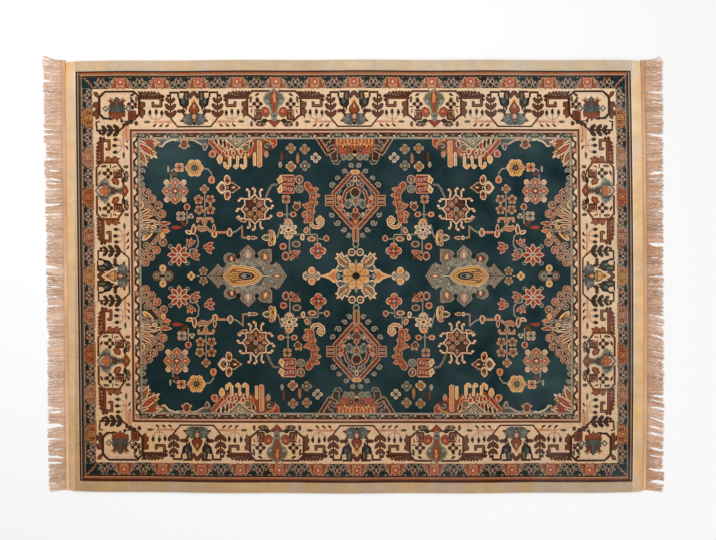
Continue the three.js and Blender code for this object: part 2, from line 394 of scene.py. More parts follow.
# The corner: a smaller cartouche, cut off by the end's first ear of leaves.
def corner(chart):
    chart.fill(966, 694, "cream", 768, 584)
    chart.fill(966, 694, "cream", 832, 560)
    filler(runOf(chart, 592, 547, False), "plum")
    p = chart.spot(868, 547)
    p.lay(line(9, (-4, 137), (-52, 137), (-74, 118), (-74, 54), (-52, 32), (-40, 26)), brown=0, umber=2.8)
    p.lay(line(9, (-4, 137), (52, 137), (70, 120), (74, 110), (74, 54), (58, 38), (30, 36)), brown=0,
          umber=2.8)
    for side, foot in ((-1, 92), (-1, 64), (1, 92), (1, 60)):
        q = p.at(side * 77, foot, flip=side)
        q.lay(patch((-2, 10), (19, 4), (19, -16), (14, -11), (10, -28), (-2, -22)), brown=0, rust=3)
        for y in (-14, -4, 4):
            q.lay(line(2.6, (2, y - 4), (15, y + 3)), umber=0)
    p.lay(patch((96, 136), (80, 136), (70, 116), (78, 112), (92, 122)), brown=0, rust=4)
    p.lay(line(3, (-62, 112), (-48, 128), (44, 128), (60, 112)), rose=0)
    p.at(-48, 124, 60).lay(oval(5, 9), brown=0)
    p.at(-63, 108).lay(oval(5, 11), umber=0, olive=2)
    fourDots(p.at(-48, 89))
    p.at(-62, 78, 90).lay(oval(3, 7), brown=0)
    p.at(-46, 48).lay(block(16, 18, 3), brown=0, rust=3, plum=8)
    p.at(-46, 48).lay(line(3, (-10, -10), (10, -10), (10, 10), (-4, 10), (-4, 0)), umber=0)
    v = p.at(9, 0)
    v.lay(even((0, 28), (7, 38), (14, 34), (20, 44), (29, 42), (32, 62), (0, 62)), brown=-1, rust=1)
    for x in (-22, -11, 0, 11, 22):
        v.lay(line(2.6, (x, 46), (x, 60)), plum=0)
    v.lay(even((0, 59), (28, 61), (30, 86), (0, 85)), umber=-1, slate=1)
    for x in (-22, -13, 13, 22):
        v.lay(line(3.4, (x, 62), (x * 0.9, 84)), brown=0)
    for side in (-1, 1):
        v.at(side * 42, 74).lay(block(12, 12, 11), umber=-1, mist=0, teal=2.6)
        v.at(side * 42, 74).lay(block(5, 5, 4), cream=0)
    v.lay(even((0, 86), (26, 88), (25, 97), (34, 104), (22, 114), (12, 106), (0, 116)), brown=-1, plum=0)
    for q in v.both(0, 0):
        q.lay(line(5.4, (33, 103), (22, 111), (12, 102)), olive=0, gold=1.4)
    v.lay(line(9, (0, 80), (0, 112)), umber=-1, slate=0.6)
    p.at(-44, 112).lay(disc(5.5), umber=0, olive=2)
    for x, y, a, b in ((-36, 22, 16, 7), (-22, 14, 13, 7), (-62, 19, 7, 9), (-8, 28, 6, 7)):
        p.at(x, y).lay(oval(a, b), umber=0, plum=3)
    p.lay(line(5, (-40, 26), (-6, 28)), umber=0)
    # the cut-off ear of leaves, and the twig's stem beside it
    p.lay(patch((-34, 10), (-22, 10), (-6, -24), (-20, -44), (-34, -44)), rose=0)
    p.lay(line(4, (-24, 4), (-26, -40)), salmon=0)
    p.lay(line(6, (-18, 10), (0, -6), (84, -6), (86, 24), (76, 26)), brown=0)
    ear = Place(chart, endMatrix @ np.diag([1, 0.9]), 832, 540)
    earOfLeaves(ear.at(0, 53), "umber")


# Flowers on brick-red lobes along the sides, and on tan or rust domes along the ends with these grounds and
# lights from the middle outwards. They stand in turn with ringed flowers among dark leaves.
domeYarns = (("tan", "gold"), ("rust", "rose"), ("rust", "salmon"), ("tan", "rose"), ("rust", "gold"))


def outerGuard(chart):
    for end, edge, count, pitch, squeeze in ((True, 966, 10, 73.5, 0.86), (False, 694, 14, 72, 1)):
        for k in range(count):
            p = runOf(chart, k * pitch, edge, end, squeeze)
            if k % 2:
                if end:
                    p.at(0, 18).lay(block(29, 18, 8), mist=0, plum=2)
                ringFlower(p)
            elif end:
                dome(p, *domeYarns[k // 2])
            else:
                lobe(p)
    chart.fill(1009, 745, "teal", 966, 697)
    chart.spot(0, 0).lay(patch((966, 697), (966, 745), (950, 745), (962, 722), (954, 704)), teal=0)
    chart.spot(986, 722).lay(line(4.5, (20, 24), (13, 13), (9, 13), (4, 3), (-3, 2), (-7, -8), (-12, -9),
                                  (-19, -23)), plum=-2, rust=0, rose=1.6)


def lobe(p):
    p.lay(even((0, 51), (22, 51), (27, 36), (38, 14), (44, 0), (0, 0)), ink=-1, rose=0.4, rust=2.6)
    for x, y, turn in ((33, 7, 60), (27, 25, 20), (17, 43, -30), (12, 6, 180)):
        for q in p.both(x, y, turn):
            q.lay(curl(7, 0.9, 2.6), brown=-1, rose=0)
    p.at(0, 45).lay(oval(8, 4), olive=0)
    p.at(0, 25).lay(petals(6, 19, 0.3), brown=-1.6, rose=0, crimson=2.8)
    for q in p.at(0, 25).around(6, 10):
        q.lay(oval(2.6, 4), salmon=0)
    p.at(0, 25).lay(disc(4.4), brown=-1.4, cream=0)


def dome(p, ground, light):
    p.lay(even((0, 50), (16, 48), (30, 40), (39, 26), (43, 10), (44, 0), (0, 0)), ink=-1, rose=0.6,
          brown=2.2, **{ground: 4})
    for q in p.both(0, 0):
        q.lay(line(2.6, (3, 43), (18, 39), (29, 27), (33, 12)), **{light: 0})
        for x, y, turn, radius in ((26, 11, 60, 9), (18, 33, 20, 7), (7, 8, 200, 7)):
            q.at(x, y, turn).lay(curl(radius, 0.9, 2.6), brown=-1.6, **{light: 0})
    p.at(0, 25).lay(petals(4, 13, 0.3, 45), brown=-1.6, **{light: 0, ground: 2.4, "crimson": 6})
    p.at(0, 25).lay(disc(2.8), cream=0)


def ringFlower(p):
    for q in p.both(0, 0):
        q.lay(patch((47, 46), (40, 48), (22, 40), (14, 32), (24, 28), (38, 34)), ink=0, teal=3)
        q.at(46, 47).lay(disc(4.4), ink=0)
        q.lay(line(5, (37, 46), (24, 48), (10, 47)), mist=0, slate=1.6)
        q.lay(line(2.4, (33, 40), (40, 42), (34, 46)), mist=0)
        q.lay(line(2.4, (8, 38), (14, 26), (12, 14)), rose=0)
        q.at(22, 25).lay(disc(3), mist=0)
        q.at(23, 13).lay(disc(9), mist=0, plum=2.6, ink=6)
        q.at(39, 10, 10).lay(leaf(22, 4.5), mist=0, plum=1.6)
    p.at(0, 38).lay(disc(9.5), mist=0, umber=2.4, plum=5.5)
    p.at(0, 12).lay(disc(10.5), mist=0, umber=2.4, brown=6)
    p.at(0, 25).lay(disc(3.2), rose=0)


# Dark trapezes and small leaves in turn along the sides; flowers linked by S-curves along the ends.
def innerGuard(chart):
    for end, edge, count, pitch in ((True, 801, 9, 66.6), (False, 513, 15, 60.5)):
        if end:
            chart.fill(820, 531, "cream", 803, 0)
        for k in range(count):
            p = runOf(chart, k * pitch, edge, end)
            if end:
                guardFlower(p, "tan" if k % 2 else "olive")
            elif k % 2:
                p.at(0, 9).lay(oval(21, 8), umber=0, olive=2)
                p.at(0, 9).lay(oval(9, 4), mist=0, umber=2)
                for q in p.both(20, 3):
                    q.lay(disc(4), mist=0)
            else:
                p.lay(even((0, 2), (22, 2), (37, 17), (0, 17)), rose=-2, brown=0)
                p.at(0, 9).lay(oval(15, 3.2), umber=0, tan=1.4)
                for q in p.both(25, 2):
                    q.lay(line(3.4, (-3, 4), (3, 3), (3, -1)), cream=0)
    chart.fill(823, 535, "brown", 803, 515)
    chart.spot(812, 524, 45).lay(block(6, 6), cream=0, rust=2.4)


def guardFlower(p, yarn):
    p.at(0, 9).lay(petals(4, 14, 0.4, 45), brown=0, **{yarn: 3})
    p.at(0, 9).lay(disc(2.8), cream=0)
    p.at(33, 9).lay(line(8.5, (-20, 2), (-14, 7), (-4, 5), (4, -5), (14, -7), (20, -2)), brown=0)


# The field of the rug: motifs by their spots, all mirrored four ways.
def field(chart):
    c = chart.spot(0, 0)
    for motif in (stems, loneLeaves, edgeLozenge, topBand, archMedallion, basket, spandrel, palmette, hexagon,
                  starMedallion, redLeaf, hookPair, centreStar, blossoms):
        motif(c)


# An open flower from above: petals slit down their middles, and a round heart.
def blossom(p, count, radius, start, edge, inner, heart):
    p.lay(petals(count, radius, 0.42, start), ink=-2, **{edge: 0, inner: 3.2})
    for q in p.around(count, 0, start + 180 / count):
        q.lay(line(2.6, (0, radius * 0.2), (0, radius * 0.62)), brown=0)
    if radius > 25:
        for q in p.around(count, radius * 0.6):
            q.lay(oval(radius * 0.16, radius * 0.26), rust=-1.5, salmon=0.6)
    p.lay(disc(radius * 0.26), umber=0, **{heart: 2})


# A bud or leaf: light edge, coloured inside, dark slit.
def bud(p, length, width, edge, inner, slit=0):
    p.lay(drop(length, width), ink=-2, **{edge: 0, inner: 3})
    if slit:
        p.at(0, length * 0.2).lay(drop(length * 0.5, slit), brown=0)


# A pale curl, its middle rolled in.
def roll(p, size=1):
    p.lay(disc(12 * size), ink=-1)
    p.lay(curl(10.4 * size, 1.3, 4 * size, 250), mist=0)


# The star in the middle, with hooked branches and a four-part flower at each end.
def centreStar(c):
    c.lay(patch((70, 25), (84, 24), (98, 12), (114, 6), (134, 1), (134, -1), (114, -6), (98, -12), (84, -24),
                (70, -25)), brown=-3, cream=-1, gold=3, salmon=8)
    c.at(15, 88).lay(disc(14), brown=-1.5, cream=0, umber=4)
    c.at(15, 88).lay(disc(5), tan=0)
    c.lay(patch((30, 22), (50, 46), (66, 42), (76, 24), (64, 16), (40, 18)), ink=-1, cream=0, mist=3, slate=6)
    c.lay(patch((26, 38), (18, 54), (30, 70), (30, 80), (44, 74), (52, 90), (60, 80), (74, 86), (68, 72),
                (80, 66), (68, 58), (66, 44), (44, 32)), brown=-2, cream=0, olive=4.6, tan=8)
    c.lay(line(3, (34, 50), (58, 72)), cream=0)
    c.lay(line(2.4, (42, 46), (64, 62)), brown=0)
    c.at(66, 3).lay(oval(10, 11), slate=0, mist=4)
    c.lay(oval(9, 62), umber=-1.5, mist=0, slate=3.4)
    c.at(0, 100).lay(disc(9), mist=0, teal=3)
    for q in c.around(8, 38, 0):
        q.lay(oval(10, 15), brown=-1.5, mist=0, tan=3)
    for q in c.around(8, 36, 22.5):
        q.lay(oval(12, 16), brown=-1.6, cream=0, gold=2.4, salmon=8)
        q.at(0, 5).lay(disc(2.6), cream=0)
    for q in c.around(8, 22, 0):
        q.lay(oval(6, 9), brown=-1, gold=0, tan=2.4)
    c.lay(disc(15), gold=-1.5, brown=0, ink=2.4)
    p = c.at(164, 0)
    for q in p.both(0, 0):
        q.at(20, 0).lay(oval(13, 17), brown=-2, cream=0, mist=3)
        q.at(20, 0).lay(line(2.6, (-8, 0), (8, 0)), slate=0)
    for turn in (0, 180):
        p.at(0, 0, turn).at(0, 19).lay(oval(13, 14), brown=-2, cream=-0.5, gold=2, salmon=8)
    p.lay(line(3, (-16, -14), (16, 14)), brown=0)
    p.lay(line(3, (-16, 14), (16, -14)), brown=0)
    p.lay(disc(7), brown=0, gold=2.4)


# The pointed hexagon over the star, with pale curls outside and fingered bars on its flanks.
def hexagon(c):
    outline = ((0, 386), (12, 380), (80, 306), (80, 256), (4, 172), (0, 165))
    for x, y, turn, size in ((16, 408, 30, 1), (40, 386, 10, 1), (66, 361, -20, 0.95), (85, 335, -40, 1.1),
                             (86, 226, 200, 1), (66, 197, 170, 1.15), (43, 172, 150, 1.05),
                             (26, 152, 130, 1)):
        roll(c.at(x, y, turn), size)
    c.lay(patch(*outline), umber=-4, teal=8)
    # a horseshoe round a dark egg, flowers under it
    c.lay(line(14, (14, 330), (36, 310), (44, 284), (40, 262)), brown=-2, rose=0, rust=2.4, umber=5)
    c.lay(line(3, (52, 318), (66, 296), (66, 262)), umber=-1, mist=0)
    for x, y, a, b, edge, inner in ((0, 308, 19, 20, "rose", "brown"), (27, 266, 12, 17, "mist", "slate"),
                                    (12, 344, 9, 11, "rose", "slate"), (24, 336, 8, 9, "mist", "plum"),
                                    (56, 274, 11, 10, "rose", "crimson"), (60, 290, 8, 9, "rose", "salmon"),
                                    (0, 224, 20, 14, "mist", "plum"), (0, 242, 10, 10, "rose", "crimson")):
        c.at(x, y).lay(oval(a, b), umber=-2, **{edge: 0, inner: 3})
    for turn in (-70, -30, 30, 70, 130, 180, 230):
        c.at(0, 276, turn).lay(drop(25, 7), umber=-1, mist=0, olive=2.6)
    c.at(0, 277).lay(disc(10), rose=-1.4, plum=1, tan=5)
    for x, y, turn, length, yarn in ((50, 244, -42, 24, "crimson"), (38, 232, -46, 24, "plum"),
                                     (24, 214, -44, 26, "crimson"), (34, 222, 40, 16, "mist"),
                                     (52, 256, 60, 14, "salmon")):
        bud(c.at(x, y, turn), length, 8, "rose", yarn)
    c.lay(even((0, 214), (15, 206), (9, 194), (0, 178)), brown=-1, rust=0, salmon=5)
    bud(c.at(0, 370, 180), 24, 8, "cream", "brown")
    c.lay(line(17, *outline[:-1]), umber=-1.5, rose=0, rust=2.6)
    c.lay(line(4.4, *outline[:-1]), plum=0)
    for y, yarn in ((293, "rust"), (279, "olive"), (265, "rust")):
        c.at(95, y).lay(block(16, 6, 1), brown=-1.5, rose=-0.2, **{yarn: 1.8})
        c.at(96, y).lay(block(12, 1.4), brown=0)
    c.at(0, 384).lay(oval(18, 9), brown=-2, rose=-0.5, gold=2, tan=6)
    # its foot
    c.lay(line(24, (0, 172), (0, 134)), brown=-1, rose=0, tan=3)
    c.lay(line(4, (0, 170), (0, 128)), brown=0)
    c.at(0, 118).lay(disc(12), mist=0, umber=3.4)
    c.at(0, 118).lay(disc(4), ink=0)


# The basket at the middle of each side.
def basket(c):
    c.lay(patch((0, 516), (136, 516), (102, 456), (78, 440), (0, 424)), umber=-1, brown=2)
    c.lay(patch((0, 512), (76, 512), (80, 488), (0, 488)), brown=0, rust=3)
    for x in range(0, 76, 13):
        c.at(x, 498).lay(block(3.4, 9), salmon=0, gold=1.6)
    c.lay(line(4, (0, 484), (84, 484)), olive=-1.5, mist=1)
    for x, y, yarn in ((0, 462, "rust"), (21, 466, "plum"), (44, 461, "crimson"), (64, 468, "rust")):
        c.at(x, y).lay(petals(6, 15, 0.3, 0), brown=-1.5, salmon=0, **{yarn: 2.2})
        c.at(x, y + 16).lay(drop(12, 4), rust=-1, gold=0)
        c.at(x, y).lay(disc(3.4), tan=0)
    for x, y, turn in ((84, 500, 130), (96, 488, 130), (90, 472, 120)):
        c.at(x, y, turn).lay(line(4, (-14, 0), (0, -8), (14, 0)), brown=-1.5, mist=0.4)
    c.at(0, 458).lay(disc(9), rust=-1, ink=1)
    c.at(0, 450).lay(even((0, -8), (13, 4), (8, 2), (0, 0)), cream=0)
    for x in (20, 42):
        c.at(x, 439, 10).lay(oval(13, 11), brown=-1.5, mist=-0.5, olive=2)
        c.at(x, 440).lay(oval(6, 5), mist=0, umber=2)
    for x, y, yarn in ((11, 484, "salmon"), (33, 486, "gold"), (54, 486, "salmon"), (74, 478, "rust"),
                       (88, 446, "tan")):
        c.at(x, y, 20 * (x % 3)).lay(block(4, 4), crimson=-1.5, **{yarn: 0})
    c.lay(line(26, (76, 460), (78, 440), (72, 426)), ink=-1.5, mist=0, brown=2.4)
    c.lay(line(13, (76, 420), (64, 418), (60, 428)), brown=-1, mist=0, umber=2.6)
    c.at(56, 434).lay(disc(6.5), ink=0)
    c.lay(line(15, (138, 512), (101, 453), (78, 466)), rose=0, brown=2.4)
    c.lay(line(2.2, (126, 512), (96, 464)), tan=0)


# The long palmette on the middle line: a golden almond among lobes of grey.
def palmette(c):
    half = ((256, 0), (284, 44), (298, 48), (316, 38), (320, 48), (312, 56), (310, 96), (318, 100),
            (350, 96), (364, 84), (360, 76), (374, 68), (372, 88), (399, 114), (430, 86), (424, 70),
            (436, 60), (446, 70), (448, 80), (470, 86), (487, 76), (489, 60), (478, 44), (486, 30),
            (500, 32), (510, 46), (518, 34), (552, 0))
    whole = half + tuple((x, -y) for x, y in reversed(half[1:-1]))
    c.lay(patch(*whole), brown=-2.5, mist=0, plum=3.4)
    for depth, yarn in ((6.5, "olive"), (12.5, "plum"), (18.5, "slate"), (25, "olive"), (31, "slate")):
        c.lay(patch(*whole), mist=depth, **{yarn: depth + 2.6})
    for x, y, turn, length, width, edge in ((332, 56, -12, 36, 17, "tan"), (399, 62, 0, 40, 20, "mist"),
                                            (462, 52, 10, 28, 19, "plum")):
        q = c.at(x, y, turn)
        q.lay(drop(length, width), brown=0, **{edge: 2})
        q.at(0, length * 0.1).lay(drop(length * 0.7, 6.5), salmon=0, cream=2)
    for x, y in ((367, 74), (434, 72)):
        c.at(x, y).lay(disc(8.5), ink=0)
    for k in range(7):
        q = c.at(352 + 17 * k, 46 + (k % 2) * 8, 30 - 8 * k)
        q.lay(curl(8, 1.1, 3.4, 60 * k), mist=0)
    for x, y, turn in ((302, 30, 20), (334, 34, -20), (322, 14, 60), (344, 18, 10)):
        c.at(x, y, turn).lay(leaf(24, 6), umber=-1, mist=0.6)
    c.at(292, 0).lay(oval(26, 14), brown=-1, mist=0, umber=3, tan=5)
    c.at(292, 0).lay(oval(8, 4), cream=0)
    c.lay(line(4, (320, 0), (350, 0)), cream=0)
    almond = ((346, 0), (360, 18), (378, 30), (402, 33), (430, 38), (454, 37), (474, 24), (490, 0))
    almond += tuple((x, -y) for x, y in reversed(almond[1:-1]))
    c.lay(patch(*almond), cream=-2.5, brown=0.5, gold=2.4)
    c.lay(patch(*almond), brown=9, gold=11.5, tan=17)
    c.at(430, 0, -90).lay(drop(52, 22), tan=0, gold=3)
    for y in (-27, -18, -9, 0, 9, 18, 27):
        c.lay(line(2.8, (424 + abs(y) * 0.4, y), (478 - abs(y) * 0.7, y * 0.75)), brown=0)
    c.at(405, 0).lay(oval(26, 14), brown=-1.5, ink=0)
    c.at(405, 0).lay(oval(21, 10), mist=0, ink=2)
    c.at(412, 0).lay(star(6, 10, 5), mist=0)
    for y in (-24, -12, 0, 12, 24):
        c.lay(line(2.4, (492, y * 0.3), (530 - abs(y) * 0.6, y)), umber=-0.4, tan=0.4)
    c.lay(line(2.6, (494, 0), (546, 0)), brown=0)


# The eight-pointed star, hung with hooks all round.
def starMedallion(c):
    p = c.at(372, 247)
    hooks = (((40, 38), (52, 40), (58, 32)), ((50, 2), (62, 2), (66, -6)), ((38, -34), (54, -36), (60, -28)),
             ((-40, 38), (-54, 38), (-60, 30)), ((-50, 2), (-62, 4), (-66, 12)),
             ((-38, -34), (-54, -34), (-60, -26)), ((-22, 46), (-20, 66), (-26, 72)),
             ((0, 54), (-2, 72), (5, 76)), ((20, 46), (20, 66), (27, 72)),
             ((-20, -46), (-20, -64), (-26, -70)), ((0, -54), (0, -72), (7, -76)),
             ((20, -46), (18, -64), (25, -68)))
    for hook in hooks:
        p.lay(line(6, *hook), brown=-2.5, cream=0, rose=2.2)
    for x, y in (hook[-1] for hook in hooks):
        p.at(x, y).lay(disc(4.6), rust=-1.5, cream=0)
    outline = []
    for k, radius in enumerate((56, 42, 54, 41, 52, 41, 53, 42) * 2):
        angle = math.pi * k / 8
        outline.append((radius * math.sin(angle), radius * math.cos(angle)))
    p.lay(patch(*outline), brown=-3, cream=-1.2, rust=3, umber=4.4)
    for q, yarn in zip(p.around(4, 26, 45), ("tan", "salmon", "tan", "rose")):
        q.lay(oval(11, 15), brown=-2, **{yarn: 0, "plum": 3.4, "rose": 6})
        q.at(0, 4).lay(line(2.4, (0, -8), (0, 6)), ink=0)
    for q in p.around(4, 24, 0):
        q.lay(drop(18, 6), brown=-1, rose=0, crimson=2)
    for q in p.around(4, 40, 22.5):
        q.lay(disc(3.6), rose=0)
    p.lay(disc(10), ink=0, rose=2)
    p.lay(disc(5.6), mist=0, ink=2.2)


# Half a medallion hanging from the side: arches on red below a grey wedge, ending in golden hooks.
def archMedallion(c):
    c.lay(patch((286, 512), (288, 486), (300, 470), (318, 464), (334, 450), (372, 450), (392, 436),
                (480, 430), (492, 446), (520, 470), (544, 494), (542, 512)), brown=-3, rust=0)
    for hook in (((463, 440), (463, 409), (471, 400), (480, 407), (481, 417)),
                 ((433, 440), (434, 409), (439, 401), (445, 406)),
                 ((404, 440), (404, 409), (412, 400), (420, 408)), ((371, 452), (371, 412))):
        c.lay(line(11.5, *hook), ink=-2, cream=0, gold=2.6)
    c.lay(line(19, (352, 492), (352, 411)), brown=-1.4, cream=0, salmon=2.6)
    c.lay(line(4, (349, 490), (352, 416)), gold=0)
    c.at(327, 462, 180).lay(drop(26, 10), brown=-1.4, mist=0, salmon=3)
    c.at(499, 447, 180).lay(drop(34, 12), ink=-2, cream=0, gold=2.8)
    # slanting stripes at its outer end, then flames
    c.lay(line(17, (534, 498), (498, 456)), brown=-1, rose=0, crimson=2.6)
    c.lay(line(4, (540, 500), (512, 468)), olive=0)
    c.lay(line(9, (524, 510), (486, 462)), brown=-1, cream=0, crimson=2.2)
    for x, y, turn, length, yarn in ((516, 510, 160, 30, "brown"), (498, 510, 168, 36, "umber"),
                                     (482, 508, 174, 44, "brown"), (467, 500, 178, 38, "crimson"),
                                     (452, 492, 184, 30, "brown"), (380, 500, 190, 32, "brown"),
                                     (474, 466, 176, 26, "crimson"), (448, 464, 182, 22, "rust")):
        c.at(x, y, turn).lay(drop(length, 9.5), ink=-1, cream=0, **{yarn: 2.6})
    for x, y, a, b, edge, yarn in ((403, 474, 14, 15, "rose", "olive"),
                                   (421, 460, 9.5, 14, "cream", "crimson"),
                                   (387, 462, 8, 11, "salmon", "crimson")):
        c.at(x, y).lay(oval(a, b), ink=-1, **{edge: 0, yarn: 3.4})
    for x, y in ((458, 438), (447, 439), (433, 466), (456, 468), (393, 448), (404, 450), (420, 440)):
        c.at(x, y).lay(oval(3, 4.4), cream=0)
    # the grey wedge and its chevrons
    c.lay(patch((482, 512), (366, 512), (402, 496), (436, 470), (462, 494)), cream=-3, olive=0, mist=6)
    for inset in (0, 10):
        c.lay(line(8, (460 - inset, 510), (436, 488 + inset), (412 + inset, 510)), ink=0)
        c.lay(line(3.6, (460 - inset, 510), (436, 488 + inset), (412 + inset, 510)), cream=0)
    # the dark scroll and the red point at its inner end
    c.at(322, 480).lay(disc(17), brown=-1, plum=2, umber=6)
    c.at(323, 479).lay(curl(12, 0.9, 4, 300), mist=0)
    c.lay(patch((318, 512), (288, 512), (286, 486), (302, 472)), brown=-1, rose=0, crimson=2.6)
    c.lay(line(3.4, (338, 508), (300, 488)), gold=0)


# The corner piece of the field: jagged leaves fanning out of the corner.
def spandrel(c):
    c.lay(patch((716, 512), (716, 486), (738, 478), (742, 450), (760, 440), (768, 412), (786, 404),
                (800, 412), (800, 512)), brown=-2, tan=0, rust=6)
    for x, y, turn, length, width, yarn in ((800, 506, 98, 86, 16, "rust"),
                                            (800, 492, 128, 92, 19, "crimson"),
                                            (800, 470, 154, 72, 18, "rust"), (800, 440, 176, 40, 9, "tan")):
        q = c.at(x, y, turn)
        for side in (-1, 1):
            for share in (0.4, 0.62):
                q.at(0, length * share, 40 * side).lay(drop(length * 0.26, 7), brown=-2, cream=0, salmon=3)
        q.lay(leaf(length, width * 0.75), brown=-2, cream=0, **{yarn: 3.6})
        q.lay(line(4, (0, length * 0.25), (0, length * 0.75)), brown=0, gold=1.2)
    c.at(757, 496).lay(disc(13), brown=-1, rust=0, crimson=6)
    c.at(744, 462).lay(oval(9, 8), brown=0, gold=3)
    for x, y, turn in ((786, 390, 20), (790, 364, 100), (788, 340, 60)):
        roll(c.at(x, y, turn))


# A grey band with arcs along the side, between the medallion and the corner, with a hanging bud.
def topBand(c):
    c.lay(patch((520, 512), (534, 488), (566, 486), (588, 500), (604, 504), (614, 498), (650, 498),
                (660, 504), (694, 500), (710, 482), (726, 482), (726, 512)), mist=0, slate=4)
    c.lay(line(4.5, (568, 487), (590, 500), (606, 504)), rose=0)
    c.lay(line(4.5, (658, 503), (676, 504), (696, 496), (711, 480), (724, 482)), cream=0)
    p = c.at(630, 488)
    p.lay(even((0, 20), (18, 16), (12, 4), (22, -8), (12, -10), (6, -16), (0, -18)), brown=-2, rose=0, tan=3)
    p.lay(oval(9, 12), brown=0, rust=4)
    c.at(554, 478).lay(oval(8, 14), mist=0, plum=3.4)
    c.lay(line(4, (540, 490), (548, 470)), mist=0)
    bud(c.at(526, 438), 30, 15, "rose", "salmon")
    c.at(526, 450).lay(oval(6, 8), rust=0)


# Half a lozenge at the field's end, in rings and rays.
def edgeLozenge(c):
    c.lay(patch((800, 330), (790, 306), (722, 228), (718, 150), (790, 62), (800, 44)), brown=-1, umber=6)
    for x, y, turn, length, width, edge, inner in ((796, 262, 30, 34, 10, "rose", "plum"),
                                                   (784, 252, 66, 32, 8, "rose", "rust"),
                                                   (788, 132, 46, 66, 12, "cream", "gold"),
                                                   (798, 246, 20, 40, 12, "cream", "gold"),
                                                   (798, 152, 60, 54, 9, "rose", "salmon"),
                                                   (776, 226, 84, 34, 8, "rose", "crimson"),
                                                   (800, 224, 60, 60, 9, "cream", "salmon"),
                                                   (800, 212, 76, 58, 8, "rose", "gold"),
                                                   (800, 199, 84, 66, 8, "cream", "tan"),
                                                   (800, 186, 92, 60, 8, "cream", "rose"),
                                                   (800, 172, 98, 58, 8, "rose", "gold"),
                                                   (800, 160, 80, 40, 7, "mist", "rust"),
                                                   (745, 196, 90, 24, 8, "cream", "rust"),
                                                   (742, 168, 90, 22, 8, "mist", "slate"),
                                                   (756, 182, 90, 22, 8, "cream", "gold")):
        bud(c.at(x, y, turn), length, width, edge, inner, 2.6)
    for x, y in ((774, 114), (796, 92)):
        c.at(x, y).lay(disc(12), brown=-2, mist=0, ink=4)
        c.at(x, y).lay(disc(4), rose=0)
    for points in (((800, 304), (724, 216)), ((722, 152), (800, 60))):
        c.lay(line(16, *points), brown=-1, rose=0)
        c.lay(line(10.5, *points), umber=0)
        c.lay(line(3.6, *points), rose=0)
    for x, y, yarn in ((768, 308, "plum"), (750, 286, "rust"), (727, 262, "plum"), (714, 230, "rust"),
                       (712, 125, "plum"), (736, 96, "crimson"), (757, 72, "plum"), (778, 50, "rust"),
                       (790, 322, "rust")):
        q = c.at(x, y, 40 if y > 180 else 140)
        q.lay(disc(15), brown=-2, rose=0, **{yarn: 2.8})
        q.lay(curl(9, 1.1, 3, 200), umber=-1.4, rose=0)
    c.lay(line(4, (723, 168), (723, 206)), mist=0)
    # the flower at its tip
    for x, y, turn, length, width, yarn in ((724, 195, 90, 42, 9, "rust"), (724, 180, 92, 34, 7, "brown"),
                                            (722, 164, 84, 38, 10, "salmon"), (714, 138, 0, 28, 11, "gold")):
        c.at(x, y, turn).lay(drop(length, width), ink=-2, rose=0, **{yarn: 2.4})
    c.at(680, 180, 90).lay(drop(36, 7), plum=-1.5, crimson=1)


# The curved red leaf and the spiral it grows from.
def redLeaf(c):
    c.lay(line(13, (168, 222), (166, 196), (156, 182), (138, 180), (124, 190), (121, 206), (131, 217),
               (141, 208), (138, 198)), brown=-2, cream=0, gold=3, tan=4.4)
    for x, y, turn, length in ((160, 316, 74, 26), (156, 300, 96, 26), (160, 262, 60, 26),
                               (166, 232, 62, 20), (164, 268, -112, 34), (164, 250, -66, 36),
                               (168, 236, -104, 34), (168, 214, -70, 32), (166, 212, -118, 30),
                               (170, 316, -40, 26)):
        c.at(x, y, turn).lay(drop(length, 10), brown=-2, rose=0, salmon=2, rust=4)
    c.lay(line(25, (177, 336), (162, 316), (155, 296), (161, 262), (168, 236), (168, 208)), brown=-2, rose=0,
          rust=2.4, crimson=9)
    for x, y, turn, yarn in ((168, 322, 30, "salmon"), (154, 302, -50, "tan"), (162, 286, 60, "salmon"),
                             (156, 270, -60, "salmon"), (170, 250, 40, "tan"), (162, 236, -50, "salmon"),
                             (174, 222, 50, "tan"), (164, 212, -30, "salmon")):
        c.at(x, y, turn).lay(leaf(17, 6), umber=-1.4, **{yarn: 0, "rust": 3.4})


# Two red tiles with a pair of curls each, between round buds and leaves.
def hookPair(c):
    for y, edge, inner in ((357, "rose", "plum"), (322, "mist", "olive")):
        c.at(206, y).lay(oval(15, 16), brown=-2, **{edge: 0, inner: 3, "slate": 8})
        c.at(206, y).lay(line(3.4, (-4, -8), (3, -2), (-2, 6)), **{edge: 0})
        c.at(250, y).lay(block(27, 17, 5), ink=-2, rose=0, crimson=2.4)
        for x, start in ((238, 60), (263, 240)):
            c.at(x, y).lay(disc(11.5), umber=0, plum=2)
            c.at(x, y).lay(curl(9.5, 1.1, 3.4, start), rose=0)
        c.at(281, y - 17, 14).lay(leaf(36, 12, 2), brown=-2, cream=0, gold=3, rust=8)
    c.lay(line(8, (290, 338), (306, 336), (316, 324), (330, 292)), umber=-0.5, mist=0.6, plum=2.4)


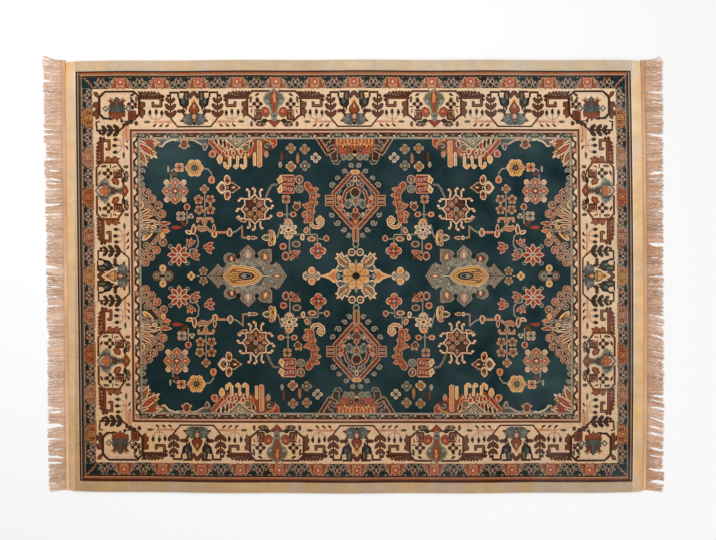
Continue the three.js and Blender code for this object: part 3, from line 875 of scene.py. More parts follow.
# Pale stems with what grows on them.
def stems(c):
    for points in (((170, 186), (170, 154)), ((141, 122), (141, 148), (146, 153), (240, 153)),
                   ((246, 138), (246, 96), (240, 90)), ((253, 202), (254, 268)), ((220, 228), (286, 228)),
                   ((278, 190), (284, 160), (290, 142)), ((556, 216), (556, 312)), ((622, 244), (622, 196)),
                   ((598, 158), (584, 146), (582, 116), (592, 100), (613, 98), (613, 84)),
                   ((562, 399), (544, 396), (531, 382), (528, 366)), ((666, 397), (678, 390), (681, 356)),
                   ((620, 402), (640, 402)), ((100, 136), (124, 136), (141, 138))):
        c.lay(line(5, *points), umber=-1, mist=0.4)
    c.lay(line(8, (474, 161), (528, 161)), brown=-1, rose=0, salmon=2)
    c.lay(line(6.5, (420, 184), (420, 142), (396, 141)), brown=-1.5, mist=0, tan=1.6)
    c.lay(line(5, (424, 180), (438, 168), (448, 162), (462, 162)), mist=0)
    for x, y, turn, length, width, edge, inner in ((403, 200, -64, 44, 9, "rose", "rust"),
                                                   (466, 146, 0, 32, 12, "cream", "tan"),
                                                   (392, 141, 90, 30, 8, "rose", "tan"),
                                                   (396, 134, 0, 16, 7, "cream", "gold"),
                                                   (308, 112, 0, 60, 15, "cream", "gold"),
                                                   (316, 142, -90, 32, 14, "cream", "olive"),
                                                   (316, 110, 0, 24, 9, "rose", "salmon"),
                                                   (315, 172, 180, 22, 8, "rose", "salmon"),
                                                   (109, 128, 0, 24, 12, "rose", "rust"),
                                                   (187, 158, 20, 26, 10, "rose", "salmon"),
                                                   (198, 132, 8, 26, 9, "cream", "gold"),
                                                   (202, 124, 180, 10, 5, "mist", "mist"),
                                                   (530, 342, 0, 30, 14, "rose", "salmon"),
                                                   (622, 244, 0, 26, 13, "rose", "crimson"),
                                                   (522, 142, 0, 32, 12, "cream", "salmon"),
                                                   (524, 164, 0, 30, 8, "rose", "plum"),
                                                   (600, 154, 4, 40, 10, "cream", "rust"),
                                                   (606, 158, -70, 26, 9, "cream", "salmon")):
        bud(c.at(x, y, turn), length, width, edge, inner, 2.4)
    for x, y, a, b, edge, inner in ((230, 228, 12, 10, "rose", "rust"), (279, 228, 12, 10, "rose", "salmon"),
                                    (163, 137, 16, 10, "rose", "tan"), (220, 118, 16, 12, "mist", "plum"),
                                    (269, 109, 13, 12, "rose", "crimson"), (260, 74, 13, 16, "rose", "plum")):
        c.at(x, y).lay(oval(a, b), brown=-2, **{edge: 0, inner: 3.4})
        c.at(x, y).lay(oval(a * 0.3, b * 0.3), brown=0)
    # the crossed leaves under the white flower
    c.lay(line(11, (211, 91), (242, 88)), brown=-2, rose=0, rust=2.6)
    c.lay(line(12, (214, 86), (240, 64)), brown=-2, rose=0, crimson=2.8)
    c.lay(line(6, (214, 68), (232, 82)), brown=-1, rust=0)
    # the bracketed cluster
    for points in (((528, 202), (532, 212), (552, 212), (554, 198)),
                   ((562, 198), (564, 212), (584, 212), (584, 202)), ((536, 166), (552, 178), (558, 190)),
                   ((554, 172), (570, 168), (584, 178), (580, 184))):
        c.lay(line(10, *points), brown=-2, rose=0, tan=2.8)
    c.lay(line(9, (558, 180), (580, 180)), brown=-1.5, rose=0, rust=2.4)
    # the big pod on its side, with two bent leaves and a ribbed one
    p = c.at(434, 327, -90)
    p.lay(even((0, -12), (8, 2), (20, 16), (18, 30), (0, 40)), ink=-2, rose=0, brown=3)
    p.at(0, 16).lay(oval(5, 8), tan=0, cream=2)
    for side in (-1, 1):
        c.at(472, 327 + 28 * side, -8 * side).lay(oval(12, 19), ink=-2, cream=0, rust=3, brown=7)
        c.at(470, 327 + 34 * side).lay(disc(4), salmon=0)
    q = c.at(476, 327, -90)
    q.lay(leaf(38, 24), brown=-2, cream=0, tan=8)
    for turn in (-56, -34, -12, 12, 34, 56):
        q.at(0, 3, turn).lay(line(2.6, (0, 4), (0, 23 - abs(turn) * 0.12)), brown=0)


# Leaves in dim yarns, low against the ground.
def loneLeaves(c):
    for x, y, turn, length, width, yarn in ((211, 414, 0, 44, 8, "tan"), (276, 400, 0, 26, 8, "mist"),
                                            (270, 424, 0, 40, 7, "plum"), (244, 430, -20, 34, 5, "umber"),
                                            (190, 436, 20, 28, 5, "umber"), (624, 184, -50, 34, 9, "plum"),
                                            (656, 376, -80, 26, 9, "plum"), (690, 384, 0, 26, 6, "mist"),
                                            (666, 180, 90, 30, 7, "plum"), (590, 0, 90, 12, 6, "mist"),
                                            (258, 196, 0, 20, 10, "tan")):
        c.at(x, y, turn).lay(drop(length, width), ink=-1.5, **{yarn: 0.6})


# An open flower seen from the side: three pointed petals on a round foot.
def tulip(p, size, inner="crimson"):
    for turn in (-42, 42, 0):
        p.at(0, -0.5 * size, turn).lay(drop(1.5 * size, 0.42 * size), brown=-2, rose=0, **{inner: 2.4})
    p.at(0, -0.5 * size).lay(disc(0.42 * size), brown=-2, rose=0, rust=2.4)


# Loose flowers: where, petals, size, turn, edge, inside and heart.
looseFlowers = ((185, 469, 4, 19, 0, "mist", "tan", "gold"), (236, 472, 4, 19, 0, "mist", "tan", "gold"),
                (185, 408, 4, 19, 0, "mist", "olive", "cream"), (237, 405, 4, 19, 0, "cream", "tan", "gold"),
                (145, 437, 4, 19, 0, "cream", "mist", "brown"), (140, 93, 4, 30, 0, "cream", "crimson",
        "mist"), (536, 245, 5, 18, 0, "rose", "tan", "brown"), (577, 245, 5, 18, 36, "rose", "tan", "brown"),
                (536, 283, 5, 18, 36, "rose", "tan", "brown"), (579, 283, 5, 18, 0, "rose", "tan", "brown"),
                (557, 322, 4, 17, 0, "rose", "tan", "gold"), (645, 222, 4, 20, 45, "rose", "mist", "brown"),
                (608, 221, 3, 11, 0, "cream", "mist", "mist"), (564, 18, 5, 17, 0, "mist", "tan", "gold"),
                (609, 3, 4, 14, 0, "cream", "gold", "mist"), (256, 284, 4, 18, 45, "rose", "tan", "brown"),
                (214, 262, 4, 16, 45, "rose", "tan", "crimson"),
                (217, 256, 4, 15, 0, "rose", "plum", "rose"), (649, 402, 4, 19, 45, "cream", "salmon",
        "brown"),)


# The loose flowers, then the large ones by themselves.
def blossoms(c):
    for x, y, count, radius, start, edge, inner, heart in looseFlowers:
        blossom(c.at(x, y), count, radius, start, edge, inner, heart)
    tulip(c.at(543, 106, 100), 22)
    tulip(c.at(594, 76, 80), 20, "rust")
    tulip(c.at(610, 124, 10), 17)
    # the white flower
    p = c.at(248, 171)
    p.lay(disc(24), brown=0, umber=5)
    for q in p.around(8, 21, 22.5):
        q.lay(oval(7.5, 12), brown=-2, cream=0, mist=3.4)
        q.at(0, -3).lay(line(2.4, (0, -6), (0, 4)), brown=0)
    p.at(0, 31).lay(oval(13, 9), brown=-2, cream=0, salmon=2.6)
    p.at(0, -28).lay(oval(11, 8), brown=-2, cream=0, rose=2.4)
    p.lay(disc(10), cream=0, gold=2.6)
    p.lay(disc(5), ink=0)
    # the golden flower
    p = c.at(593, 400)
    p.lay(petals(6, 34, 0.2, 30), ink=-2, cream=0, gold=2)
    for q in p.around(12, 0, 15):
        q.lay(line(3.2, (0, 9), (0, 22)), brown=0)
    p.at(25, 4).lay(oval(6, 8), salmon=0)
    p.lay(disc(10), ink=0, slate=3.4)
    # the star flower
    p = c.at(654, 78)
    for q in p.around(4, 44, 45):
        q.lay(disc(8), mist=0, teal=3)
    for q in p.around(8, 8, 0):
        q.lay(drop(34, 11), brown=-2.4, cream=0, rose=1.5, crimson=3)
        q.at(0, 8).lay(drop(14, 4), rust=0)
    for q in p.around(8, 8, 22.5):
        q.lay(line(2.6, (0, 2), (0, 18)), cream=0)
    p.lay(disc(9), rust=0, cream=2, teal=5)
    # the great rosette
    p = c.at(665, 315)
    for q in p.around(4, 45, 45):
        q.lay(disc(10), brown=-2, cream=0, rose=3)
    for q in p.around(4, 0, 0):
        q.at(0, 12).lay(leaf(38, 22), brown=-2, rose=0, tan=3)
        q.at(0, 22).lay(leaf(20, 8), crimson=0, rose=3)
    for q in p.around(4, 24, 45):
        q.lay(disc(11), rose=-1, olive=1.4, mist=7)
    p.lay(block(20, 3), crimson=0)
    p.lay(block(3, 20), crimson=0)
    p.lay(disc(6), crimson=-1.4, cream=1)
    # the trefoil on the middle line
    p = c.at(712, 0)
    for x, a in ((-18, 18), (24, 15)):
        p.at(x, 2).lay(disc(a), brown=-2, tan=0, umber=3, mist=6.5, slate=11)
    p.at(2, 29).lay(oval(12, 13), brown=-2, cream=0, gold=2.6, tan=8)
    p.at(2, 12).lay(oval(8, 7), mist=0)
    p.at(4, 2).lay(oval(8, 4), ink=0)


# One quarter of the rug, painted from the middle outwards.
def paintedQuarter():
    chart = Chart(weave["quarterColumns"], weave["quarterRows"], weave["knot"])
    field(chart)
    for stage, borders in ((bands[:2], innerGuard), (bands[2:5], mainBorder), (bands[5:6], outerGuard),
                           (bands[6:], None)):
        for band in stage:
            chart.beyond(band["x"], band["y"], band["yarn"])
        if borders:
            borders(chart)
    return chart.yarns


# Narrow stripes round the outside, which differ from edge to edge: from where to where, outwards.
edgeStripes = dict(end=((1004, 1006, "mist"), (1006, 1012.5, "plum"), (1012.5, 1017, "ink"),
                        (1017, 1021, "mist"), (1021, 1026, "brown"), (1026, 1030, "cream")),
                   top=((738, 745, "umber"), (745, 748, "rose"), (748, 753, "tan"), (753, 757.5, "rust"),
                        (757.5, 762, "ink"), (762, 764, "mist"), (764, 767, "sand")),
                   bottom=((738, 743, "brown"), (743, 746, "rose"), (746, 750, "tan"), (750, 754, "rust"),
                           (754, 761, "brown"), (761, 763, "tan")))


# The whole rug from one quarter; the weaving sits a knot nearer the right end and the top edge.
def mirrored(quarter):
    half = np.concatenate([quarter[:, ::-1], quarter], 1)
    whole = np.roll(np.concatenate([half[::-1], half], 0), (1, 1), (0, 1))
    rows, columns = whole.shape
    y = (np.arange(rows)[:, None] + 0.5 - rows / 2) * weave["knot"]
    x = abs(np.arange(columns)[None] + 0.5 - columns / 2) * weave["knot"]
    for low, high, yarn in edgeStripes["end"]:
        whole[(x >= low) & (x < high) & (y < 762) & (y > -761)] = yarnNumber[yarn]
    for edge, side in (("top", 1), ("bottom", -1)):
        for low, high, yarn in edgeStripes[edge]:
            whole[(side * y >= low) & (side * y < high) & (x < 264 + low)] = yarnNumber[yarn]
    return whole


# A value in a material's node tree that takes part in sums: each operator adds a Math node.
class Value:
    def __init__(self, board, socket):
        self.board, self.socket = board, socket

    def math(self, operation, *others):
        values = dict(enumerate((self,) + others))
        return self.board.node("ShaderNodeMath", dict(operation=operation), values)

    # The same with the other value first.
    def swapped(self, operation, other):
        return self.board.node("ShaderNodeMath", dict(operation=operation), {0: other, 1: self})

    def __add__(self, other):
        return self.math("ADD", other)

    def __radd__(self, other):
        return self.math("ADD", other)

    def __sub__(self, other):
        return self.math("SUBTRACT", other)

    def __rsub__(self, other):
        return self.swapped("SUBTRACT", other)

    def __mul__(self, other):
        return self.math("MULTIPLY", other)

    def __rmul__(self, other):
        return self.math("MULTIPLY", other)

    def __truediv__(self, other):
        return self.math("DIVIDE", other)

    def __rtruediv__(self, other):
        return self.swapped("DIVIDE", other)

    def __mod__(self, other):
        return self.math("FLOORED_MODULO", other)

    def __gt__(self, other):
        return self.math("GREATER_THAN", other)

    def __lt__(self, other):
        return self.math("LESS_THAN", other)

    def __pow__(self, other):
        return self.math("POWER", other)

    def floor(self):
        return self.math("FLOOR")

    def sine(self):
        return self.math("SINE")

    def size(self):
        return self.math("ABSOLUTE")


# One material being written.
class Board:
    def __init__(self, name):
        self.material = bpy.data.materials.new(name)
        self.material.use_nodes = True
        self.tree = self.material.node_tree
        self.tree.nodes.clear()

    # Adds a node: its settings first, then the values or links of its sockets.
    def node(self, kind, settings, values, out=0):
        made = self.tree.nodes.new(kind)
        for name, value in settings.items():
            if name == "stops":
                self.fillRamp(made.color_ramp, value)
            else:
                setattr(made, name, value)
        for name, value in values.items():
            if isinstance(value, Value):
                self.tree.links.new(value.socket, made.inputs[name])
            else:
                made.inputs[name].default_value = value
        return Value(self, made.outputs[out])

    def fillRamp(self, ramp, stops):
        while len(ramp.elements) < len(stops):
            ramp.elements.new(1)
        for element, (position, colour) in zip(ramp.elements, stops):
            element.position, element.color = position, colour

    def ramp(self, factor, stops, interpolation="LINEAR"):
        made = self.node("ShaderNodeValToRGB", dict(stops=stops), {0: factor})
        made.socket.node.color_ramp.interpolation = interpolation
        return made

    def mix(self, factor, a, b, blend="MIX"):
        settings = dict(data_type="RGBA", blend_type=blend)
        return self.node("ShaderNodeMix", settings, {0: factor, 6: a, 7: b}, out=2)

    def parts(self, vector):
        split = self.node("ShaderNodeSeparateXYZ", {}, {0: vector})
        return [Value(self, socket) for socket in split.socket.node.outputs]

    def noise(self, vector, scale, detail=2, stretch=(1, 1, 1)):
        placed = self.node("ShaderNodeMapping", {}, {"Vector": vector, "Scale": stretch})
        return self.node("ShaderNodeTexNoise", {}, {"Vector": placed, "Scale": scale, "Detail": detail})

    def finish(self, shader):
        output = self.tree.nodes.new("ShaderNodeOutputMaterial")
        self.tree.links.new(shader.socket, output.inputs[0])
        return self.material


# A colour from its red, green and blue on a screen, 0 to 255, as the light that the shader counts in.
def screenColour(red, green, blue):
    return tuple(((c / 255 + 0.055) / 1.055) ** 2.4 if c > 10 else c / 255 / 12.92
                 for c in (red, green, blue)) + (1,)


# The pile cloth as in the part's own source, in millimetres.
cloth = dict(halfLength=1064.5, halfWidth=801, thickness=7, backing=1.6, pileLean=0.3, pileRound=2.6,
             footInset=0.5, edgeWave=0.8, edgeWaveLength=460, cornerPull=3, cornerSharpness=40)
swells = dict(height=0.25, alongMain=7.3, acrossMain=2.1, alongTilt=-1.7, acrossTilt=4.6)
endEdges = dict(left=dict(middle=-1060.4, lean=0.0108, bow=0), right=dict(middle=1068.6, lean=0.0046, bow=7))
sideEdges = dict(top=dict(leftDrop=5, rightDrop=2), bottom=dict(leftDrop=8, rightDrop=4))
cadGrid = dict(columns=24, rows=18)
cards = dict(columns=6, rows=4, codes=16)  # knots on one face of the mesh, and the yarns one can choose from
edgeRings = [(1.4, 6.75), (0.6, 6.1), (0.3, 5.2), (0, 1.6)]  # margin and height, from the pile's rim down

# Where each part of the body lies on the map OFBake: its corner there and its size.
bakeRooms = dict(pile=((0.004, 0.004), 0.496), edge=((0.38, 0.79), (0.6, 0.18)), back=((0.01, 0.77), 0.3))


# An end edge at height y: a straight lean, less a bow that grows as the square of y.
def endEdgeX(edge, y):
    middle, lean, bow = (endEdges[edge][k] for k in ("middle", "lean", "bow"))
    return middle - lean * y - np.sign(middle) * bow * (y / cloth["halfWidth"]) ** 2


# A point of the outline plan, u and v from -1 to 1: the sides drop as the square of u and wave a little,
# the corners are pulled in, and x runs evenly from the left end edge to the right one.
def clothPoint(u, v):
    top, bottom = sideEdges["top"], sideEdges["bottom"]
    leftDrop = np.where(v > 0, top["leftDrop"], bottom["leftDrop"])
    rightDrop = np.where(v > 0, top["rightDrop"], bottom["rightDrop"])
    drop = np.where(u < 0, leftDrop, rightDrop) * u * u
    wave = cloth["edgeWave"] * np.sin(2 * math.pi * u * cloth["halfLength"] / cloth["edgeWaveLength"] + v)
    pull = cloth["cornerPull"] * np.abs(u * v) ** cloth["cornerSharpness"]
    y = v * (cloth["halfWidth"] - drop - pull) + v * v * wave
    left, right = endEdgeX("left", y), endEdgeX("right", y)
    return left + (u + 1) / 2 * (right - left) - np.sign(u) * pull, y


# The same point in a plan that is smaller by a margin all round.
def insetPoint(u, v, margin):
    return clothPoint(u * (1 - margin / cloth["halfLength"]), v * (1 - margin / cloth["halfWidth"]))


# The pile's height: an even one and the product of a wave along the rug and one across it.
def pileHeight(u, v):
    main = np.sin(swells["alongMain"] * u + swells["acrossMain"] * v)
    return cloth["thickness"] + swells["height"] * main * np.cos(swells["alongTilt"] * u
            + swells["acrossTilt"] * v)


# How far the part moved its plan so that the whole footprint is centred.
def planShift():
    u, v = np.meshgrid(np.linspace(-1, 1, cadGrid["columns"] + 1), np.linspace(-1, 1, cadGrid["rows"] + 1))
    x, y = clothPoint(u, v)
    low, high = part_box("rug_body")
    return (low.x + high.x) / 2 / mm - (x.min() + x.max()) / 2, (low.y + high.y) / 2 / mm - (y.min()
            + y.max()) / 2


shiftX, shiftY = planShift()
print("plan shifted by", round(float(shiftX), 3), round(float(shiftY), 3), "mm")


# Points of the plan, moved as the part's are.
def placed(x, y, z):
    return np.stack(np.broadcast_arrays(x + shiftX, y + shiftY, z), -1)


# The faces of a grid of points, as rows of four corners.
def gridFaces(columns, rows, first=0):
    index = first + np.arange((columns + 1) * (rows + 1)).reshape(rows + 1, columns + 1)
    return np.stack([index[:-1, :-1], index[:-1, 1:], index[1:, 1:], index[1:, :-1]], -1).reshape(-1, 4)


# A grid's border points, once round against the clock seen from above.
def borderOf(columns, rows):
    index = np.arange((columns + 1) * (rows + 1)).reshape(rows + 1, columns + 1)
    return np.concatenate([index[0, :-1], index[:-1, -1], index[-1, :0:-1], index[:0:-1, 0]])


# A mesh being put together from points in millimetres and blocks of faces with as many corners each.
class Surface:
    def __init__(self):
        self.points, self.count, self.blocks, self.slots, self.maps = [], 0, [], [], {}

    def addPoints(self, points):
        first = self.count
        self.points.append(points.reshape(-1, 3))
        self.count += len(self.points[-1])
        return first + np.arange(len(self.points[-1])).reshape(points.shape[:-1])

    # Faces with a material slot, and for each map the places of their corners.
    def addFaces(self, faces, slot, **maps):
        self.blocks.append(faces)
        self.slots.append(np.full(len(faces), slot))
        for name, places in maps.items():
            self.maps.setdefault(name, []).append(places.reshape(-1, 2))

    def build(self, name, materials):
        mesh = bpy.data.meshes.new(name)
        mesh.from_pydata(np.concatenate(self.points) * mm, [],
                         [f for block in self.blocks for f in block.tolist()])
        for mapName, places in self.maps.items():
            layer = mesh.uv_layers.new(name=mapName)
            layer.data.foreach_set("uv", np.concatenate(places).astype(np.float32).ravel())
        for material in materials:
            mesh.materials.append(material)
        slots = np.concatenate(self.slots)
        mesh.polygons.foreach_set("material_index", slots.astype(np.int32))
        mesh.polygons.foreach_set("use_smooth", np.ones(len(slots), bool))
        made = bpy.data.objects.new(name, mesh)
        bpy.context.scene.collection.objects.link(made)
        return made


# Six knots side by side become one number in base sixteen, four rows of knots the four channels of a face.
def packChart(yarns):
    rows, columns = yarns.shape
    parts = yarns.reshape(rows // cards["rows"], cards["rows"], columns // cards["columns"], cards["columns"])
    weights = float(cards["codes"]) ** np.arange(cards["columns"])
    return (parts * weights).sum(-1).transpose(0, 2, 1).reshape(-1, cards["rows"])


# One ring of faces round the edge: its faces, its slot and its places on the maps.
def edgeStrip(above, below, aboveKnots, belowKnots, order):
    step = np.arange(len(above))
    faces = np.stack([below, np.roll(below, -1), np.roll(above, -1), above], -1)
    along = np.stack([step, step + 1, step + 1, step], -1) / len(step)
    down = np.tile(np.array([1, 1, 0, 0]) + order, (len(step), 1)) / (len(edgeRings) + 2)
    knots = np.stack([belowKnots, np.roll(belowKnots, -1, 0), np.roll(aboveKnots, -1, 0), aboveKnots], 1)
    corner, size = bakeRooms["edge"]
    maps = dict(OFBake=np.stack([along, down], -1) * size + corner, knots=knots)
    return faces, 0 if order < len(edgeRings) - 1 else 1, maps


# The rug's body: a grid for the pile with a card of knots on each face, rings down its rounded edge,
# and the same grid again for the flat back.
def makeCloth(yarns, materials):
    rows, columns = yarns.shape[0] // cards["rows"], yarns.shape[1] // cards["columns"]
    u, v = np.meshgrid(np.linspace(-1, 1, columns + 1), np.linspace(-1, 1, rows + 1))
    u, v = u.ravel(), v.ravel()
    border = borderOf(columns, rows)
    edgeU, edgeV = u[border], v[border]
    x, y = clothPoint(u, v)
    x[border], y[border] = insetPoint(edgeU, edgeV, cloth["pileRound"])
    knots = np.stack([(u + 1) / 2 * yarns.shape[1], (v + 1) / 2 * yarns.shape[0]], -1)
    outwards = np.stack([np.where(np.abs(edge) > 0.9999, edge, 0) for edge in (edgeU, edgeV)], -1)
    shape = Surface()
    shape.addPoints(placed(x, y, pileHeight(u, v)))
    corner, size = bakeRooms["pile"]
    plan = np.stack([u + 1, (v + 1) * yarns.shape[0] / yarns.shape[1]], -1) * size + corner
    pile = gridFaces(columns, rows)
    shape.addFaces(pile, 0, OFBake=plan[pile], knots=knots[pile])
    above, aboveKnots = border, knots[border]
    for order, (margin, height) in enumerate(edgeRings):
        ringX, ringY = insetPoint(edgeU, edgeV, margin)
        below = shape.addPoints(placed(ringX, ringY, height))
        belowKnots = knots[border] + outwards * (cloth["thickness"] - height + 2 - margin) / weave["knot"]
        faces, slot, maps = edgeStrip(above, below, aboveKnots, belowKnots, order)
        shape.addFaces(faces, slot, **maps)
        above, aboveKnots = below, belowKnots
    footX, footY = insetPoint(u, v, cloth["footInset"])
    foot = shape.addPoints(placed(footX, footY, 0))
    faces, slot, maps = edgeStrip(above, foot[border], aboveKnots, knots[border], len(edgeRings))
    shape.addFaces(faces, slot, **maps)
    back = pile[:, ::-1]
    corner, size = bakeRooms["back"]
    shape.addFaces(foot[back], 1, OFBake=(plan * size + corner)[back], knots=knots[back])
    piece = shape.build("rugBody", materials)
    plain = sum(yarnNumber["sand"] * cards["codes"] ** k for k in range(cards["columns"]))
    codes = np.full((len(piece.data.polygons), cards["rows"]), float(plain))
    codes[:rows * columns] = packChart(yarns)
    attribute = piece.data.attributes.new("chartCode", "FLOAT_COLOR", "FACE")
    attribute.data.foreach_set("color", codes.astype(np.float32).ravel())
    return piece


# What the sixteen yarns look like.
yarnColours = dict(teal=(17, 38, 40), ink=(22, 17, 13), brown=(62, 31, 13), rust=(132, 63, 31),
                   salmon=(188, 106, 64), gold=(202, 144, 78), cream=(216, 179, 141), sand=(193, 166, 135),
                   slate=(78, 80, 74), olive=(100, 89, 62), mist=(146, 134, 115), crimson=(152, 50, 31),
                   tan=(148, 98, 62), umber=(54, 38, 25), plum=(92, 50, 33), rose=(193, 145, 113))

# How the pile takes the light: how much each knot's tone, the clouds, the streaks and the grain change it,
# how that differs on the plain bands, and the painted sheen, a lift of the colour for the light that the
# lustrous pile reflects, which grows from the given metres left of the middle.
pileLooks = dict(tone=0.16, clouds=0.3, streaks=0.24, grain=0.5, plainGrain=0.65, plainClouds=0.34,
                 plainWarmth=1.1, sheenFrom=1.25, sheenSwing=6.4, sheenLess=2.3, spots=2, knotBump=0.25,
                 roughness=0.8, specular=0.09)

# What is added to red, green and blue: per metre rightwards and upwards, which is painted light, the pile
# drawn brighter towards the top and the right where its sheen catches the light; on the plain bands at the
# ends, at the rim of those bands, by warm and cool patches, and by golden patches at the ends. The painted
# sheen is coloured by two tints in turn. The rest says in metres where the bands and the rim begin.
pileShift = dict(rightwards=(0.03, 0.06, 0.1), upwards=(0.19, 0.26, 0.34), ends=(0.36, 0.25, 0.09),
                 rim=(0.05, -0.02, -0.22), warmth=(0.1, -0.05, -0.5), endsGold=(0.1, -0.1, -1.1),
                 sheenGreen=(0.0045, 0.0085, 0.0065), sheenBlue=(0.005, 0.0062, 0.0088),
                 endsFrom=1.0295, sidesFrom=0.766, rimFrom=1.046, rimWidth=0.012)

# Patches of painted sheen, where the field looks paler: x, y and radius in metres, and the sheen added there.
sheenSpots = [(-0.67, 0.42, 0.17, 4.0), (0.70, -0.36, 0.15, 2.6), (0.02, -0.44, 0.2, 1.4),
              (0.63, 0.47, 0.14, 2.2), (-0.15, 0.14, 0.17, 1.2), (0.5, -0.06, 0.13, 1.2)]


def pileMaterial():
    board = Board("pileYarn")
    place = board.node("ShaderNodeUVMap", dict(uv_map="knots"), {})
    x, y = board.parts(place)[:2]
    chart = board.node("ShaderNodeAttribute", dict(attribute_name="chartCode"), {}, out="Color")
    fourth = Value(board, chart.socket.node.outputs["Alpha"])
    first, second, third = board.parts(chart)
    column, row = x.floor() % cards["columns"], y.floor() % cards["rows"]
    code = first + (second - first) * (row > 0.5) + (third - second) * (row > 1.5)
    code = code + (fourth - third) * (row > 2.5)
    for k in range(cards["columns"] - 1):
        code = code / (1 + (cards["codes"] - 1) * (column > k + 0.5))
    yarn = code.floor() % cards["codes"]
    stops = [(k / cards["codes"], screenColour(*yarnColours[name])) for k, name in enumerate(yarnNames)]
    colour = board.ramp((yarn + 0.5) / cards["codes"], stops, "CONSTANT")
    # each knot has its own tone, and the laid pile shows clouds, streaks across the rug and fine grain
    knotNumber = board.node("ShaderNodeCombineXYZ", {}, {0: x.floor(), 1: y.floor()})
    tone = board.node("ShaderNodeTexWhiteNoise", dict(noise_dimensions="2D"), {"Vector": knotNumber})
    where = board.node("ShaderNodeTexCoord", {}, {}, out="Object")
    across, along = board.parts(where)[:2]
    shade = 1 + (tone - 0.5) * pileLooks["tone"] + (board.noise(where, 6, 3) - 0.5) * pileLooks["clouds"]
    shade = shade + (board.noise(where, 22, 3, (0.12, 1, 1)) - 0.5) * pileLooks["streaks"]
    atEnd = across.size() > pileShift["endsFrom"]
    plain = atEnd.math("MAXIMUM", along.size() > pileShift["sidesFrom"])
    grain = (board.noise(where, 110, 2) - 0.5) * pileLooks["grain"]
    shade = shade + grain * (1 - plain * pileLooks["plainGrain"])
    warm = (board.noise(where, 14, 3, (1, 0.6, 1)) - 0.5) * (1 + plain * pileLooks["plainWarmth"])
    shade = shade + plain * (board.noise(where, 20, 2) - 0.5) * pileLooks["plainClouds"]
    gold = atEnd * (board.noise(where, 10, 2, (6, 0.7, 1)) - 0.5)
    rim = (across.size() - pileShift["rimFrom"]) / pileShift["rimWidth"]
    rim = atEnd * rim.math("MINIMUM", 1).math("MAXIMUM", -1)
    # the rightwards and upwards shares are painted light: the pile brighter towards the top and the right
    names = ("rightwards", "upwards", "ends", "warmth", "endsGold", "rim")
    channels = zip(*(pileShift[name] for name in names))
    tints = [shade * (1 + across * a + along * b + atEnd * c + warm * d + gold * e + rim * f)
             for a, b, c, d, e, f in channels]
    tint = board.node("ShaderNodeCombineXYZ", {}, dict(enumerate(tints)))
    # painted sheen: a patchy lift of the colour, growing rightwards, for the light that the lustrous pile
    # reflects
    paintedSheen = board.noise(where, 9, 5) * pileLooks["sheenSwing"] - pileLooks["sheenLess"]
    paintedSheen = (across + pileLooks["sheenFrom"]) * paintedSheen
    for spotX, spotY, radius, strength in sheenSpots:
        near = ((across - spotX) ** 2 + (along - spotY) ** 2) / -radius ** 2 + 1
        patchy = board.noise(where, 16, 4, (0.3, 1, 1))
        paintedSheen = paintedSheen + near.math("MAXIMUM", 0) * patchy * strength * pileLooks["spots"]
    sheenVeil = board.mix(board.noise(where, 17, 3) * 3 - 1, pileShift["sheenGreen"] + (1,),
                     pileShift["sheenBlue"] + (1,))
    sheenVeil = board.node("ShaderNodeVectorMath", dict(operation="SCALE"), {0: sheenVeil, "Scale": paintedSheen})
    colour = board.node("ShaderNodeVectorMath", dict(operation="MULTIPLY_ADD"), {0: colour, 1: tint, 2: sheenVeil})
    bulge = (x * (2 * math.pi)).sine() * (y * (2 * math.pi)).sine()
    bump = board.node("ShaderNodeBump", {}, {
        "Strength": pileLooks["knotBump"], "Distance": 0.001, "Height": bulge})
    shader = board.node("ShaderNodeBsdfPrincipled", {}, {
        "Base Color": colour, "Roughness": pileLooks["roughness"],
        "Specular IOR Level": pileLooks["specular"], "Normal": bump})
    return board.finish(shader)


backingLooks = dict(dark=(150, 128, 98), light=(205, 186, 152), bump=0.5, roughness=0.85)


def backingMaterial():
    board = Board("wovenBacking")
    place = board.node("ShaderNodeUVMap", dict(uv_map="knots"), {})
    x, y = board.parts(place)[:2]
    weaveHeight = (x * math.pi).sine().size() + (y * math.pi).sine().size()
    stops = [(0.2, screenColour(*backingLooks["dark"])), (0.8, screenColour(*backingLooks["light"]))]
    colour = board.ramp(board.noise(place, 0.6, 4, (1, 6, 1)), stops)
    bump = board.node("ShaderNodeBump", {}, {
        "Strength": backingLooks["bump"], "Distance": 0.0005, "Height": weaveHeight})
    shader = board.node("ShaderNodeBsdfPrincipled", {}, {
        "Base Color": colour, "Roughness": backingLooks["roughness"], "Normal": bump})
    return board.finish(shader)


# The fringe sewn to each end: a flat heading tape and the yarns that hang from it, lying in tufts.
tape = dict(width=15, thickness=2.6, gap=-0.2, topInset=0.5, bottomInset=3, stations=320, pucker=0.07,
            puckerLength=13)
tapeProfile = [(0, 0), (0, 0.62), (0.05, 0.92), (0.13, 1), (0.2, 0.94), (0.27, 0.7), (0.34, 0.95), (0.45, 1),
               (0.6, 1), (0.68, 0.92), (0.74, 0.7), (0.81, 0.9), (0.88, 0.98), (0.96, 0.8), (1, 0.5), (1, 0)]
strands = dict(count=540, radius=1.38, sides=5, stations=9, rootDepth=3, endInset=2.5, splaySharpness=24,
               lengthJitter=3, stray=2.1, crinkle=1.0, lift=1.3)
tufts = dict(fewest=3, most=20, squeezeMost=0.44, evenness=2.4, lean=3.2, shorter=2.2, rejoinLeast=-0.2,
             rejoinMost=0.5)
swayWaves = [dict(reach=3.4, length=420), dict(reach=2.2, length=173)]
